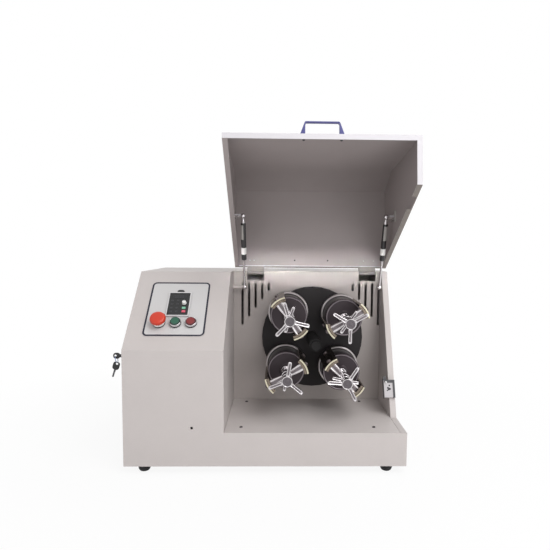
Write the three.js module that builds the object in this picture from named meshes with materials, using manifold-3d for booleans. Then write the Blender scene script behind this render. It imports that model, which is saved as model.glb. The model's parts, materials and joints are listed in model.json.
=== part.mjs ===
// A planetary ball mill: a sheet metal cabinet with a control tower on the left, a grinding
// chamber on the right under a hinged hood, and four jars that spin on a turning disc.
// Millimetres. x runs right from the cabinet's left side, y back from its front, z up from
// its lower edge. The last lines move the whole machine to its own origin.
import * as THREE from 'three';
import { mergeVertices } from 'three/addons/utils/BufferGeometryUtils.js';
import Module from 'manifold-3d';

const wasm = await Module();
wasm.setup();

// Sizes that every piece shares
const sheet = 2;
const gap = 0.3;
const runningGap = 0.5;
const overrun = 2;
const rounds = { fine: 36, middle: 20, small: 12, tiny: 8 };

// Cabinet
const sidePanel = { width: 16, footDepth: 111, topDepth: 267.5 };
const driveRoom = 212.5;
const cabinet = {
  width: 685,
  depth: sidePanel.topDepth + driveRoom,
  height: 462,
  frontHeight: 283,
  slopeRun: 187,
};
const towerShare = 0.351825;
const towerWidth = cabinet.width * towerShare;
const floorTop = 83;
const wallInset = 9;
const wallFace = sidePanel.topDepth + wallInset;
const beltWindow = { low: 24, margin: 24 };
const drainHole = { x: 164.3, z: 95, radius: 3.5 };
const slots = { width: 6.8, pitch: 19, count: 5, top: 428, shortest: 24, step: 25 };
const slotInset = { left: 26.2, right: 5.4 };
const foot = { radius: 15, height: 20, sole: 8, dome: 12, sideInset: 44, frontInset: 27 };
const basePlate = 3;
const vents = { count: 9, pitch: 22, width: 7, height: 130, low: 190, inset: 90 };
const inlet = { x: 84, z: 74, width: 48, height: 28 };

// Control panel, measured up the slope from its lower edge
const overlay = { left: 40, right: 191, low: 42, high: 218, corner: 12, thickness: 1 };
const inverter = { x: 117.4, y: 140.5, width: 58, height: 78.6, depth: 78, proud: 6, rim: 3, recess: 1.2 };
const tab = { width: 18.6, length: 9.6, thickness: 2.4, corner: 6 };
const knob = { x: 131, y: 143, radius: 5.6, height: 7, stem: 2.4 };
const knobMark = { width: 1.2, from: 1.9, depth: 0.6 };
const keycap = { width: 9, height: 6.4, thickness: 5, proud: 1.6, travel: 1.2 };
const runKeyPlace = { x: 131.3, y: 127.3 };
const stopKeyPlace = { x: 132.3, y: 116.1 };
const button = { y: 81, greenX: 116.5, redX: 155, bezel: 14.6, bezelHeight: 9, edge: 1, floor: 1.2 };
const barrelRadius = 11;
const buttonTop = { radius: 12.2, stem: 9.6, height: 11.4, head: 5.7, length: 27, crown: 1.2 };
const switchDepth = 44;
const estop = { x: 76, y: 81, collar: 15.5, collarHeight: 6.8, edge: 3, stem: 7 };
const mushroom = { radius: 19.5, height: 13, rise: 25.5, crown: 3.2, brow: 4.8, dome: 1.1, flat: 9.8 };

// Lock and keys on the left side
const lock = { y: 40, z: 262, radius: 8, nose: 10, proud: 4, depth: 26, keyway: 4.4 };
const keyBow = { shank: 8, length: 20, height: 15, corner: 5, thickness: 2.4, hole: 3, holeInset: 5.8 };
const keyRing = { radius: 8, wire: 0.9 };
const spareKey = {
  bowLength: 20,
  bowWidth: 16.5,
  corner: 4.5,
  bladeLength: 20,
  bladeWidth: 4.4,
  lean: 0.3,
  sway: 0.28,
};

// Hood
const hood = { sideGap: 3.4, overlap: 1.1, liftGap: 1.8, rise: 3, chamferFoot: 379, chamferRun: 40 };
const seam = 1.5;
const hoodFlange = 12;
const rearFlange = 9;
const hingeInset = { wall: 6, left: 64, right: 55.8 };
const hinge = {
  y: wallFace + hingeInset.wall,
  z: 456.3,
  open: 96.3,
  width: 49.5,
  leftX: towerWidth + hingeInset.left,
  rightX: cabinet.width - hingeInset.right,
  pin: 2.1,
  knuckle: 4.5,
};
const hingeNotch = { low: 434, back: 15 };
const hingeCheek = { depth: 13, drop: 11 };
const leafThickness = 2.6;
const handle = { aside: 2.25, z: 121, span: 111, bar: 79, height: 39.5, depth: 14 };
const handleSection = { thickness: 5, leg: 15.5, shoulder: 26 };

// Gas struts, each between a stud on the cabinet and a stud on the hood
const strutInset = { left: 33.5, right: 23.5, low: 9.5, hood: 145.5 };
const strut = {
  leftX: towerWidth + strutInset.left,
  rightX: cabinet.width - strutInset.right,
  lowY: sidePanel.topDepth - strutInset.low,
  lowZ: 416.5,
  hoodY: hinge.y - strutInset.hood,
  hoodZ: 342,
};
const strutBody = { radius: 7, length: 107, start: 20, floor: 3 };
const strutRod = { radius: 3.1, insertion: 10 };
const strutEye = { radius: 6.4, thickness: 6 };
const stud = { radius: 2.9, base: 5 };

// Interlock on the side panel's slanted flange
const interlock = { low: 131, width: 28.5, length: 45.5, thickness: 8, rightInset: 1.5 };
const interlockNotch = { margin: 3, reach: 7 };
const plunger = { radius: 2.8, length: 7, proud: 4, inset: 5.5, bead: 1.4, floor: 1.3 };

// Mill
const chamberWidth = cabinet.width - sidePanel.width - towerWidth;
const millAside = 15.3;
const pitchShare = 0.24533;
const mill = {
  x: towerWidth + chamberWidth / 2 + millAside,
  z: 272.2,
  turn: -2.2,
  wallGap: 2.5,
  pitchRadius: chamberWidth * pitchShare,
};
const discMargin = 40.4;
const disc = { radius: mill.pitchRadius + discMargin, thickness: 12, edge: 1 };
const wallOpeningInset = 7.4;
const wallOpeningRadius = disc.radius - wallOpeningInset;
const boss = { radius: 17, length: 130, nut: 12, nutLength: 9 };
const spindle = { radius: 15, flange: 38, flangeThickness: 7 };
const cup = { radius: 56, rim: 40, floor: 12, base: 6 };
const planetShaft = 19;
const bracket = { reach: 183, thickness: 6, width: 42, hook: 7, hookInset: 5 };
const bracketBolt = { radius: 5.4, height: 5, place: 164 };
const jar = { radius: 49.7, wall: 8, bottom: 9, edge: 2, clearance: 1 };
const lid = { front: 112, thickness: 17, spigot: 7, pad: 17, padHeight: 3 };
const clampBar = { width: 20, thickness: 13, waist: 16, wing: 18 };
const lockNut = { front: 202, radius: 12, arm: 34, width: 10, thickness: 9, tip: 4 };
const starScrew = { front: 235, screw: 6.5, hub: 14, hubLength: 19, cap: 12, capHeight: 3, arm: 49 };
const starArm = { root: 7, tip: 5, thickness: 9 };
const pressurePad = { radius: 13, thickness: 5 };

// Gears and drive behind the wall
const gears = { ratio: 2, teeth: 12, thickness: 16, toothDepth: 5, from: 22 };
const pitchShares = { tipFrom: 0.125, tipTo: 0.4375, rootFrom: 0.625, rootTo: 0.9375 };
const legMargin = 28.9;
const legPlace = (wallOpeningRadius + legMargin) / Math.SQRT2;
const plateMargin = 15;
const housing = {
  nose: 30,
  plate: (legPlace + plateMargin) * 2,
  plateThickness: 10,
  plateFrom: 68,
  leg: 18,
  rear: 118,
};
const pulley = { from: 138, thickness: 28, radius: 110, motorRadius: 35, web: 10, hub: 30, lip: 2.5 };
const belt = { thickness: 5, slack: 0.6 };
const motorReach = { front: 40.5, rear: 111.5 };
const motor = {
  x: 130,
  z: 118,
  radius: 60,
  front: wallFace - motorReach.front,
  rear: wallFace + motorReach.rear,
  shaft: 11,
  shaftDepth: 70,
};
const motorStand = { width: 108, top: 88, inset: 20 };

// Finishes: colour, roughness, metalness
const finishes = {
  paint: [0xc4bfba, 0.55, 0.1],
  slopePaint: [0xd3d0ca, 0.5, 0.1],
  chamberPaint: [0x7a7069, 0.6, 0.1],
  zinc: [0xb9b9b6, 0.4, 0.8],
  steel: [0xb4b0a8, 0.3, 0.9],
  chrome: [0xd8d8d8, 0.12, 1],
  darkSteel: [0x2b2728, 0.45, 0.6],
  blackPlastic: [0x18181a, 0.5, 0],
  rubber: [0x141414, 0.85, 0],
  whitePlastic: [0xeeeeec, 0.4, 0],
  greyPlastic: [0x8d9096, 0.5, 0],
  navy: [0x4b4d84, 0.45, 0.1],
  red: [0xc4392a, 0.4, 0],
  darkRed: [0x962828, 0.4, 0],
  green: [0x28785f, 0.4, 0],
};

// Joins and cuts
function solidOf(geometry) {
  const bare = geometry.clone();
  bare.deleteAttribute('normal');
  bare.deleteAttribute('uv');
  const merged = mergeVertices(bare);
  const corners = merged.index.array;
  const kept = [];
  for (let i = 0; i < corners.length; i += 3) {
    const [a, b, c] = corners.slice(i, i + 3);
    if (a !== b && b !== c && c !== a) kept.push(a, b, c);
  }
  const vertProperties = merged.attributes.position.array;
  const triVerts = Uint32Array.from(kept);
  return new wasm.Manifold(new wasm.Mesh({ numProp: 3, vertProperties, triVerts }));
}

function geometryOf(solid) {
  const shape = solid.getMesh();
  const geometry = new THREE.BufferGeometry();
  geometry.setAttribute('position', new THREE.BufferAttribute(shape.vertProperties, 3));
  geometry.setIndex(new THREE.BufferAttribute(shape.triVerts, 1));
  geometry.computeVertexNormals();
  return geometry;
}

function join(first, ...others) {
  return geometryOf(others.reduce((sum, other) => sum.add(solidOf(other)), solidOf(first)));
}

function cut(body, ...tools) {
  return geometryOf(tools.reduce((rest, tool) => rest.subtract(solidOf(tool)), solidOf(body)));
}

// Basic forms. Pairs in x, y and z are the lowest and the highest place.
const axisX = new THREE.Vector3(1, 0, 0);
const axisY = new THREE.Vector3(0, 1, 0);
const axisZ = new THREE.Vector3(0, 0, 1);

function block(x, y, z) {
  const geometry = new THREE.BoxGeometry(x[1] - x[0], y[1] - y[0], z[1] - z[0]);
  return geometry.translate((x[0] + x[1]) / 2, (y[0] + y[1]) / 2, (z[0] + z[1]) / 2);
}

function shapeOf(outline) {
  if (outline instanceof THREE.Shape) return outline;
  return new THREE.Shape(outline.map(([a, b]) => new THREE.Vector2(a, b)));
}

function raised(outline, depth) {
  const options = { depth, bevelEnabled: false, curveSegments: rounds.tiny / 4 };
  return new THREE.ExtrudeGeometry(shapeOf(outline), options);
}

// The radius of a faceted bore whose flats clear a round shaft
function boreFor(radius, clearance, sides) {
  return (radius + clearance) / Math.cos(Math.PI / sides);
}

// An outline in y and z, between two places in x
function sidePrism(outline, [from, to]) {
  const basis = new THREE.Matrix4().makeBasis(axisY, axisZ, axisX);
  return raised(outline, to - from).applyMatrix4(basis).translate(from, 0, 0);
}

// An outline in x and z, between two places in y
function frontPrism(outline, [from, to]) {
  const basis = new THREE.Matrix4().makeBasis(axisX, axisZ, axisY.clone().negate());
  return raised(outline, to - from).applyMatrix4(basis).translate(0, to, 0);
}

// An outline in x and y, between two places in z
function flatPrism(outline, [from, to]) {
  return raised(outline, to - from).translate(0, 0, from);
}

function alongX(radius, [from, to], y, z, sides = rounds.small) {
  const geometry = new THREE.CylinderGeometry(radius, radius, to - from, sides).rotateZ(Math.PI / 2);
  return geometry.translate((from + to) / 2, y, z);
}

function alongY(radius, [from, to], x = 0, z = 0, sides = rounds.small) {
  return new THREE.CylinderGeometry(radius, radius, to - from, sides).translate(x, (from + to) / 2, z);
}

function alongZ(radius, [from, to], x = 0, y = 0, sides = rounds.small) {
  const geometry = new THREE.CylinderGeometry(radius, radius, to - from, sides).rotateX(Math.PI / 2);
  return geometry.translate(x, y, (from + to) / 2);
}

// A profile of radius and height, turned about y, or about z where upright is asked for
function turned(profile, sides) {
  return new THREE.LatheGeometry(profile.map(([radius, height]) => new THREE.Vector2(radius, height)), sides);
}

function turnedUp(profile, sides) {
  return turned(profile, sides).rotateX(Math.PI / 2);
}

function roundedRectangle(left, right, low, high, corner) {
  const shape = new THREE.Shape();
  shape.moveTo(left + corner, low);
  shape.lineTo(right - corner, low);
  shape.absarc(right - corner, low + corner, corner, -Math.PI / 2, 0);
  shape.lineTo(right, high - corner);
  shape.absarc(right - corner, high - corner, corner, 0, Math.PI / 2);
  shape.lineTo(left + corner, high);
  shape.absarc(left + corner, high - corner, corner, Math.PI / 2, Math.PI);
  shape.lineTo(left, low + corner);
  shape.absarc(left + corner, low + corner, corner, Math.PI, Math.PI * 1.5);
  return shape;
}

function piece(group, name, geometry, finish) {
  const [color, roughness, metalness] = finishes[finish];
  const mesh = new THREE.Mesh(geometry, new THREE.MeshStandardMaterial({ color, roughness, metalness }));
  mesh.name = name;
  group.add(mesh);
  return mesh;
}

function subGroup(parent, x, y, z) {
  const group = new THREE.Group();
  group.position.set(x, y, z);
  parent.add(group);
  return group;
}

// Places that several pieces share
const chamber = { left: towerWidth + gap, right: cabinet.width - sidePanel.width - gap };
const wallBack = wallFace + sheet;
const rearFace = cabinet.depth - sheet;
const slopeRise = cabinet.height - cabinet.frontHeight;
const slopeAngle = Math.atan2(slopeRise, cabinet.slopeRun);
const edgeSlope = (sidePanel.topDepth - sidePanel.footDepth) / (cabinet.height - floorTop);
const edgeTilt = Math.atan(edgeSlope);
const edgeAt = (z) => sidePanel.footDepth + (z - floorTop) * edgeSlope;
const hingeOpen = THREE.MathUtils.degToRad(hinge.open);
const discFace = wallFace - mill.wallGap - disc.thickness;
const hingeSpans = [hinge.leftX, hinge.rightX].map((x) => [x - hinge.width / 2, x + hinge.width / 2]);

// Holes that the panel's parts pass through, in the slope's own frame
function panelHoles(depth) {
  const barrel = boreFor(barrelRadius, gap, rounds.middle);
  const left = inverter.x - inverter.width / 2 - gap;
  const low = inverter.y - inverter.height / 2 - gap;
  return [
    alongZ(barrel, depth, button.greenX, button.y, rounds.middle),
    alongZ(barrel, depth, button.redX, button.y, rounds.middle),
    alongZ(barrel, depth, estop.x, estop.y, rounds.middle),
    block([left, left + inverter.width + gap * 2], [low, low + inverter.height + gap * 2], depth),
  ];
}

function onSlope(geometry) {
  return geometry.rotateX(slopeAngle).translate(0, 0, cabinet.frontHeight);
}

// The tower's side view, drawn in by an inset
function towerOutline(inset, foot, back) {
  const lowered = inset / Math.cos(slopeAngle);
  const frontTop = cabinet.frontHeight - lowered + inset * Math.tan(slopeAngle);
  const slopeTop = cabinet.slopeRun + (lowered - inset) / Math.tan(slopeAngle);
  const top = cabinet.height - inset;
  return [[inset, foot], [inset, frontTop], [slopeTop, top], [back, top], [back, foot]];
}

function cabinetShell() {
  const tower = sidePrism(towerOutline(0, 0, rearFace - gap), [0, towerWidth]);
  const inside = towerOutline(sheet, -overrun, cabinet.depth);
  const hollow = sidePrism(inside, [sheet, towerWidth - sheet]);
  const wallX = [towerWidth - sheet, towerWidth];
  const apron = block([wallX[0], cabinet.width], [0, sheet], [0, floorTop]);
  const through = [wallX[0] - overrun, wallX[1] + overrun];
  const window = [beltWindow.low, cabinet.height - beltWindow.margin];
  const windowY = [wallBack + beltWindow.margin, rearFace - beltWindow.margin];
  const beltHole = block(through, windowY, window);
  const seatX = [sheet + gap, cabinet.width - sheet];
  const seat = block(seatX, [sheet, cabinet.depth], [-overrun, basePlate + gap]);
  const lockBore = boreFor(lock.radius, gap, rounds.small);
  const lockHole = alongX(lockBore, [-overrun, sheet + overrun], lock.y, lock.z);
  const drain = alongY(drainHole.radius, [-overrun, sheet + overrun], drainHole.x, drainHole.z, rounds.tiny);
  const holes = panelHoles([-sheet - overrun, overrun]).map(onSlope);
  const shell = cut(tower, hollow);
  const studLength = [towerWidth - sheet, strut.leftX + strutEye.thickness / 2 - gap];
  const studBase = [studLength[0], strut.leftX - strutEye.thickness / 2 - gap];
  const pin = alongX(stud.radius, studLength, strut.lowY, strut.lowZ, rounds.tiny);
  const base = alongX(stud.base, studBase, strut.lowY, strut.lowZ, rounds.tiny);
  return join(cut(join(shell, apron), beltHole, seat, lockHole, drain, ...holes), base, pin);
}

// The side panel's side view, drawn in by an inset
function sidePanelOutline(inset, foot, back) {
  const lean = inset / Math.cos(edgeTilt);
  const front = sheet + gap + inset;
  const top = cabinet.height - inset;
  const shelf = floorTop - inset;
  const edge = [[edgeAt(shelf) + lean, shelf], [edgeAt(top) + lean, top]];
  return [[front, foot], [front, shelf], ...edge, [back, top], [back, foot]];
}

function rightSidePanel() {
  const inner = cabinet.width - sidePanel.width;
  const body = sidePrism(sidePanelOutline(0, 0, rearFace - gap), [inner, cabinet.width]);
  const inside = sidePanelOutline(sheet, -overrun, cabinet.depth);
  const hollow = sidePrism(inside, [inner + sheet, cabinet.width - sheet]);
  const pinX = [strut.rightX - strutEye.thickness / 2 + gap, inner + sheet];
  const baseX = [strut.rightX + strutEye.thickness / 2 + gap, inner + sheet];
  const pin = alongX(stud.radius, pinX, strut.lowY, strut.lowZ, rounds.tiny);
  const base = alongX(stud.base, baseX, strut.lowY, strut.lowZ, rounds.tiny);
  return join(cut(body, hollow), base, pin);
}

// A slot with round ends through the wall
function wallSlot(x, low) {
  const radius = slots.width / 2;
  const depth = [wallFace - overrun, wallBack + overrun];
  const straight = block([x - radius, x + radius], depth, [low + radius, slots.top - radius]);
  const ends = [low + radius, slots.top - radius].map((z) => alongY(radius, depth, x, z, rounds.tiny));
  return join(straight, ...ends);
}

function backWall() {
  const top = cabinet.height - sheet - gap;
  const plate = block([chamber.left, chamber.right], [wallFace, wallBack], [floorTop + gap, top]);
  const depth = [wallFace - overrun, wallBack + overrun];
  const opening = alongY(wallOpeningRadius, depth, mill.x, mill.z, rounds.fine);
  const cuts = [opening];
  for (let i = 0; i < slots.count; i += 1) {
    const fromSide = i * slots.pitch;
    const nearSide = slots.top - slots.shortest - slots.step * (slots.count - 1 - i);
    cuts.push(wallSlot(towerWidth + slotInset.left + fromSide, nearSide));
    cuts.push(wallSlot(cabinet.width - sidePanel.width - slotInset.right - fromSide, nearSide));
  }
  hingeSpans.forEach((span) => cuts.push(block(span, depth, [hingeNotch.low, top + overrun])));
  const wall = cut(plate, ...cuts);
  const knuckles = hingeSpans.flatMap((span) => [
    hingeCheekPlate([span[0] - sheet, span[0]]),
    hingeCheekPlate([span[1], span[1] + sheet]),
    alongX(hinge.pin, [span[0] - sheet / 2, span[1] + sheet / 2], hinge.y, hinge.z, rounds.tiny),
  ]);
  return join(wall, ...knuckles);
}

// A cheek bent back from the notch, which holds one end of the hinge pin
function hingeCheekPlate(x) {
  const top = cabinet.height - sheet - gap;
  return block(x, [wallFace + sheet / 2, wallFace + hingeCheek.depth], [top - hingeCheek.drop, top]);
}

function chamberFloor() {
  return block([chamber.left, chamber.right], [sheet + gap, wallBack], [floorTop - sheet, floorTop]);
}

function rearCover() {
  const topZ = [cabinet.height - sheet, cabinet.height];
  const top = block([chamber.left, chamber.right], [wallFace, cabinet.depth], topZ);
  const back = block([0, cabinet.width], [rearFace, cabinet.depth], [0, cabinet.height]);
  const notchZ = [cabinet.height - sheet - overrun, cabinet.height + overrun];
  const notchY = [wallFace - overrun, wallFace + hingeNotch.back];
  const notches = hingeSpans.map((span) => block(span, notchY, notchZ));
  const depth = [rearFace - overrun, cabinet.depth + overrun];
  const inletX = [inlet.x - inlet.width / 2, inlet.x + inlet.width / 2];
  const holes = [block(inletX, depth, [inlet.z, inlet.z + inlet.height])];
  for (let i = 0; i < vents.count; i += 1) {
    const left = cabinet.width - vents.inset - i * vents.pitch;
    holes.push(block([left - vents.width, left], depth, [vents.low, vents.low + vents.height]));
  }
  return cut(join(top, back), ...notches, ...holes);
}

function bottomPlate() {
  return block([sheet + gap, chamber.right], [sheet + gap, rearFace - gap], [0, basePlate]);
}

// A domed rubber foot with a flat sole
function footDome() {
  const steps = rounds.small / 4;
  const dome = [];
  for (let i = 0; i <= steps; i += 1) {
    const turn = ((i / steps) * Math.PI) / 2;
    const radius = foot.sole + (foot.radius - foot.sole) * Math.sin(turn);
    dome.push([radius, -foot.height + foot.dome * (1 - Math.cos(turn))]);
  }
  return turnedUp([[0, -foot.height], ...dome, [foot.radius, -gap], [0, -gap]], rounds.small);
}

function buildCabinet(root) {
  piece(root, 'cabinet_shell', cabinetShell(), 'paint');
  piece(root, 'right_side_panel', rightSidePanel(), 'paint');
  piece(root, 'back_wall', backWall(), 'chamberPaint');
  piece(root, 'chamber_floor', chamberFloor(), 'chamberPaint');
  piece(root, 'rear_cover', rearCover(), 'paint');
  piece(root, 'base_plate', bottomPlate(), 'zinc');
  const places = { left: foot.sideInset, right: cabinet.width - foot.sideInset };
  const rows = { front: foot.frontInset, rear: cabinet.depth - foot.frontInset };
  for (const [row, y] of Object.entries(rows)) {
    for (const [side, x] of Object.entries(places)) {
      piece(subGroup(root, x, y, 0), `foot_${row}_${side}`, footDome(), 'rubber');
    }
  }
}

// Control panel
function overlayPlate() {
  const outline = roundedRectangle(overlay.left, overlay.right, overlay.low, overlay.high, overlay.corner);
  const plate = flatPrism(outline, [gap, gap + overlay.thickness]);
  return cut(plate, ...panelHoles([-overrun, overlay.thickness + overrun]));
}

const panelFace = gap + overlay.thickness;

function inverterBody() {
  const half = { x: inverter.width / 2, y: inverter.height / 2 };
  const body = block([-half.x, half.x], [-half.y, half.y], [-inverter.depth, inverter.proud]);
  const inner = { x: half.x - inverter.rim, y: half.y - inverter.rim };
  const faceZ = [inverter.proud - inverter.recess, inverter.proud + overrun];
  const recess = block([-inner.x, inner.x], [-inner.y, inner.y], faceZ);
  const tabZ = [panelFace + gap, panelFace + gap + tab.thickness];
  const tabY = [half.y - tab.length, half.y + tab.length];
  const clip = flatPrism(roundedRectangle(-tab.width / 2, tab.width / 2, ...tabY, tab.corner), tabZ);
  const pocketFrom = inverter.proud - inverter.recess + keycap.proud - keycap.thickness - keycap.travel - gap;
  const pockets = [runKeyPlace, stopKeyPlace].map(({ x, y }) => {
    const across = [x - inverter.x - keycap.width / 2 - gap, x - inverter.x + keycap.width / 2 + gap];
    const up = [y - inverter.y - keycap.height / 2 - gap, y - inverter.y + keycap.height / 2 + gap];
    return block(across, up, [pocketFrom, inverter.proud]);
  });
  const stemBore = boreFor(knob.stem, gap, rounds.tiny);
  const stemPlace = [knob.x - inverter.x, knob.y - inverter.y];
  const stemHole = alongZ(stemBore, [0, inverter.proud], ...stemPlace, rounds.tiny);
  return cut(join(body, clip), recess, ...pockets, stemHole);
}

const keypadFace = inverter.proud - inverter.recess;

function knobBody() {
  const low = keypadFace + gap;
  const dial = alongZ(knob.radius, [low, low + knob.height]);
  const stem = alongZ(knob.stem, [gap, low + knob.height / 2], 0, 0, rounds.tiny);
  const tip = low + knob.height;
  const markX = [-knobMark.width / 2, knobMark.width / 2];
  const mark = block(markX, [knobMark.from, knob.radius + overrun], [tip - knobMark.depth, tip + overrun]);
  return cut(join(dial, stem), mark);
}

function keycapBody() {
  const top = keypadFace + keycap.proud;
  const across = [-keycap.width / 2, keycap.width / 2];
  return block(across, [-keycap.height / 2, keycap.height / 2], [top - keycap.thickness, top]);
}

// A round fitting clamped in the panel: a ring in front, a barrel behind and a bore for its moving part
function panelFitting(ring, ringHeight, edge, shaft) {
  const bore = boreFor(shaft, gap, rounds.middle);
  const low = panelFace + gap;
  const top = low + ringHeight;
  const profile = [[bore, -switchDepth], [barrelRadius, -switchDepth], [barrelRadius, low], [ring, low],
    [ring, top - edge], [ring - edge, top], [bore, top], [bore, -switchDepth]];
  return turnedUp(profile, rounds.middle);
}

// A push button's fitting, with a mouth that its cap's wide head sinks into
function buttonFitting() {
  const fitting = panelFitting(button.bezel, button.bezelHeight, button.edge, buttonTop.stem);
  const mouth = boreFor(buttonTop.radius, gap, rounds.middle);
  const low = panelFace + gap;
  const depth = [low + button.floor, low + button.bezelHeight + overrun];
  return cut(fitting, alongZ(mouth, depth, 0, 0, rounds.middle));
}

function buttonCap() {
  const { radius, stem, height, head, length, crown } = buttonTop;
  const top = panelFace + gap + height;
  const low = top - length;
  const shank = [[0, low], [stem, low], [stem, top - head], [radius, top - head]];
  return turnedUp([...shank, [radius, top - crown], [radius - crown, top], [0, top]], rounds.middle);
}

function estopHead() {
  const { radius, crown, brow, dome, flat } = mushroom;
  const top = panelFace + mushroom.rise;
  const low = top - mushroom.height;
  const stem = [[0, -switchDepth / 2], [estop.stem, -switchDepth / 2], [estop.stem, low]];
  const lower = [[radius - crown, low], [radius, low + crown]];
  const upper = [[radius, top - brow], [radius - crown, top - dome], [flat, top], [0, top]];
  return turnedUp([...stem, ...lower, ...upper], rounds.middle);
}

function buildPanel(root) {
  const slope = subGroup(root, 0, 0, cabinet.frontHeight);
  slope.rotation.x = slopeAngle;
  piece(slope, 'control_panel', overlayPlate(), 'slopePaint');
  piece(subGroup(slope, inverter.x, inverter.y, 0), 'inverter_keypad', inverterBody(), 'blackPlastic');
  piece(subGroup(slope, knob.x, knob.y, 0), 'keypad_knob', knobBody(), 'whitePlastic');
  piece(subGroup(slope, runKeyPlace.x, runKeyPlace.y, 0), 'run_key', keycapBody(), 'green');
  piece(subGroup(slope, stopKeyPlace.x, stopKeyPlace.y, 0), 'stop_key', keycapBody(), 'darkRed');
  for (const [colour, x, finish] of [['green', button.greenX, 'green'], ['red', button.redX, 'darkRed']]) {
    const place = subGroup(slope, x, button.y, 0);
    piece(place, `${colour}_bezel`, buttonFitting(), 'chrome');
    piece(place, `${colour}_button`, buttonCap(), finish);
  }
  const place = subGroup(slope, estop.x, estop.y, 0);
  const base = panelFitting(estop.collar, estop.collarHeight, estop.edge, estop.stem);
  piece(place, 'estop_base', base, 'greyPlastic');
  piece(place, 'estop_head', estopHead(), 'red');
}

// Lock and keys
function lockBarrel() {
  const barrel = alongX(lock.radius, [-lock.proud / 2, lock.depth], 0, 0);
  const nose = alongX(lock.nose, [-lock.proud, -gap], 0, 0);
  const keyway = boreFor(lock.keyway, gap, rounds.small);
  return cut(join(barrel, nose), alongX(keyway, [-lock.proud - overrun, lock.depth / 2], 0, 0));
}

function lockKey() {
  const bowRight = -lock.proud - keyBow.shank;
  const bowLeft = bowRight - keyBow.length;
  const half = keyBow.height / 2;
  const outline = roundedRectangle(bowLeft, bowRight, -half, half, keyBow.corner);
  const bow = frontPrism(outline, [-keyBow.thickness / 2, keyBow.thickness / 2]);
  const shank = alongX(lock.keyway, [bowRight - overrun, lock.depth / 2 - overrun], 0, 0, rounds.tiny);
  const depth = [-keyBow.thickness, keyBow.thickness];
  return cut(join(bow, shank), alongY(keyBow.hole, depth, bowLeft + keyBow.holeInset, 0, rounds.tiny));
}

const keyHole = {
  x: -lock.proud - keyBow.shank - keyBow.length + keyBow.holeInset,
  z: keyRing.wire + runningGap - keyBow.hole,
};

// The ring through the first key's bow, with the second key hanging from it
function spareKeyBody() {
  const ring = new THREE.TorusGeometry(keyRing.radius, keyRing.wire, rounds.tiny / 2, rounds.small);
  const bowTop = -keyRing.radius * 2 + keyRing.wire * 2;
  const half = spareKey.bowWidth / 2;
  const bowOutline = roundedRectangle(-half, half, -spareKey.bowLength, 0, spareKey.corner);
  const depth = [-keyBow.thickness / 2, keyBow.thickness / 2];
  const bow = frontPrism(bowOutline, depth);
  const bladeX = [-spareKey.bladeWidth / 2, spareKey.bladeWidth / 2];
  const bladeZ = [-spareKey.bowLength - spareKey.bladeLength, -spareKey.bowLength + overrun];
  const blade = block(bladeX, depth, bladeZ);
  const hanging = join(bow, blade).rotateY(spareKey.lean + spareKey.sway).translate(0, 0, bowTop);
  const upright = ring.rotateY(Math.PI / 2).translate(0, 0, -keyRing.radius);
  return join(upright, hanging).rotateY(-spareKey.sway);
}

function buildLock(root) {
  const place = subGroup(root, 0, lock.y, lock.z);
  piece(place, 'key_lock', lockBarrel(), 'chrome');
  piece(place, 'lock_key', lockKey(), 'blackPlastic');
  piece(subGroup(place, keyHole.x, 0, keyHole.z), 'spare_key', spareKeyBody(), 'blackPlastic');
}

// Hood, drawn closed, in the machine's own frame
const hoodLeft = towerWidth + hood.sideGap;
const hoodRight = cabinet.width + hood.overlap;
const hoodLip = floorTop + hood.liftGap;
const hoodTop = cabinet.height + hood.rise;

function hoodOutline(inset) {
  const low = hoodLip + inset;
  const top = hoodTop - inset;
  const lean = (seam + inset) / Math.cos(edgeTilt);
  const chamferSlope = (hoodTop - hood.chamferFoot) / hood.chamferRun;
  const lowered = inset * Math.hypot(1, chamferSlope);
  const chamferTop = hood.chamferRun + (lowered - inset) / chamferSlope;
  const chamferLow = hood.chamferFoot - lowered + inset * chamferSlope;
  const rear = [[edgeAt(low) - lean, low], [edgeAt(top) - lean, top]];
  return [[inset, low], ...rear, [chamferTop, top], [inset, chamferLow]];
}

// What is cut away inside the return flanges, through the hood's underside and slanted edges
function hoodMouth() {
  const low = hoodLip - overrun;
  const top = hoodTop - rearFlange;
  const beyond = overrun / Math.cos(edgeTilt);
  const shoulder = hoodLip + sheet + overrun;
  const inward = edgeAt(shoulder) - seam - sheet - overrun;
  const upper = edgeAt(top) - (seam + sheet + overrun) / Math.cos(edgeTilt);
  const outer = [[edgeAt(low) + beyond, low], [edgeAt(top) + beyond, top]];
  return [[hoodFlange, low], ...outer, [upper, top], [inward, shoulder], [hoodFlange, shoulder]];
}

// What lies outside the hood's left edge, which runs straight from the front lip to the hinge
function beyondLeftEdge(inset) {
  const top = hoodTop - rearFlange;
  const beyond = overrun / Math.cos(edgeTilt);
  const upper = edgeAt(top) - seam / Math.cos(edgeTilt);
  const inward = new THREE.Vector2(hoodLip - top, upper - hoodFlange).setLength(inset);
  const front = hoodFlange + inward.x;
  const outer = [[edgeAt(hoodLip) + beyond, hoodLip - overrun], [edgeAt(top) + beyond, top]];
  const inner = [[upper + inward.x, top + inward.y], [front, hoodLip + inward.y]];
  return [[front, hoodLip - overrun], ...outer, ...inner];
}

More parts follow.
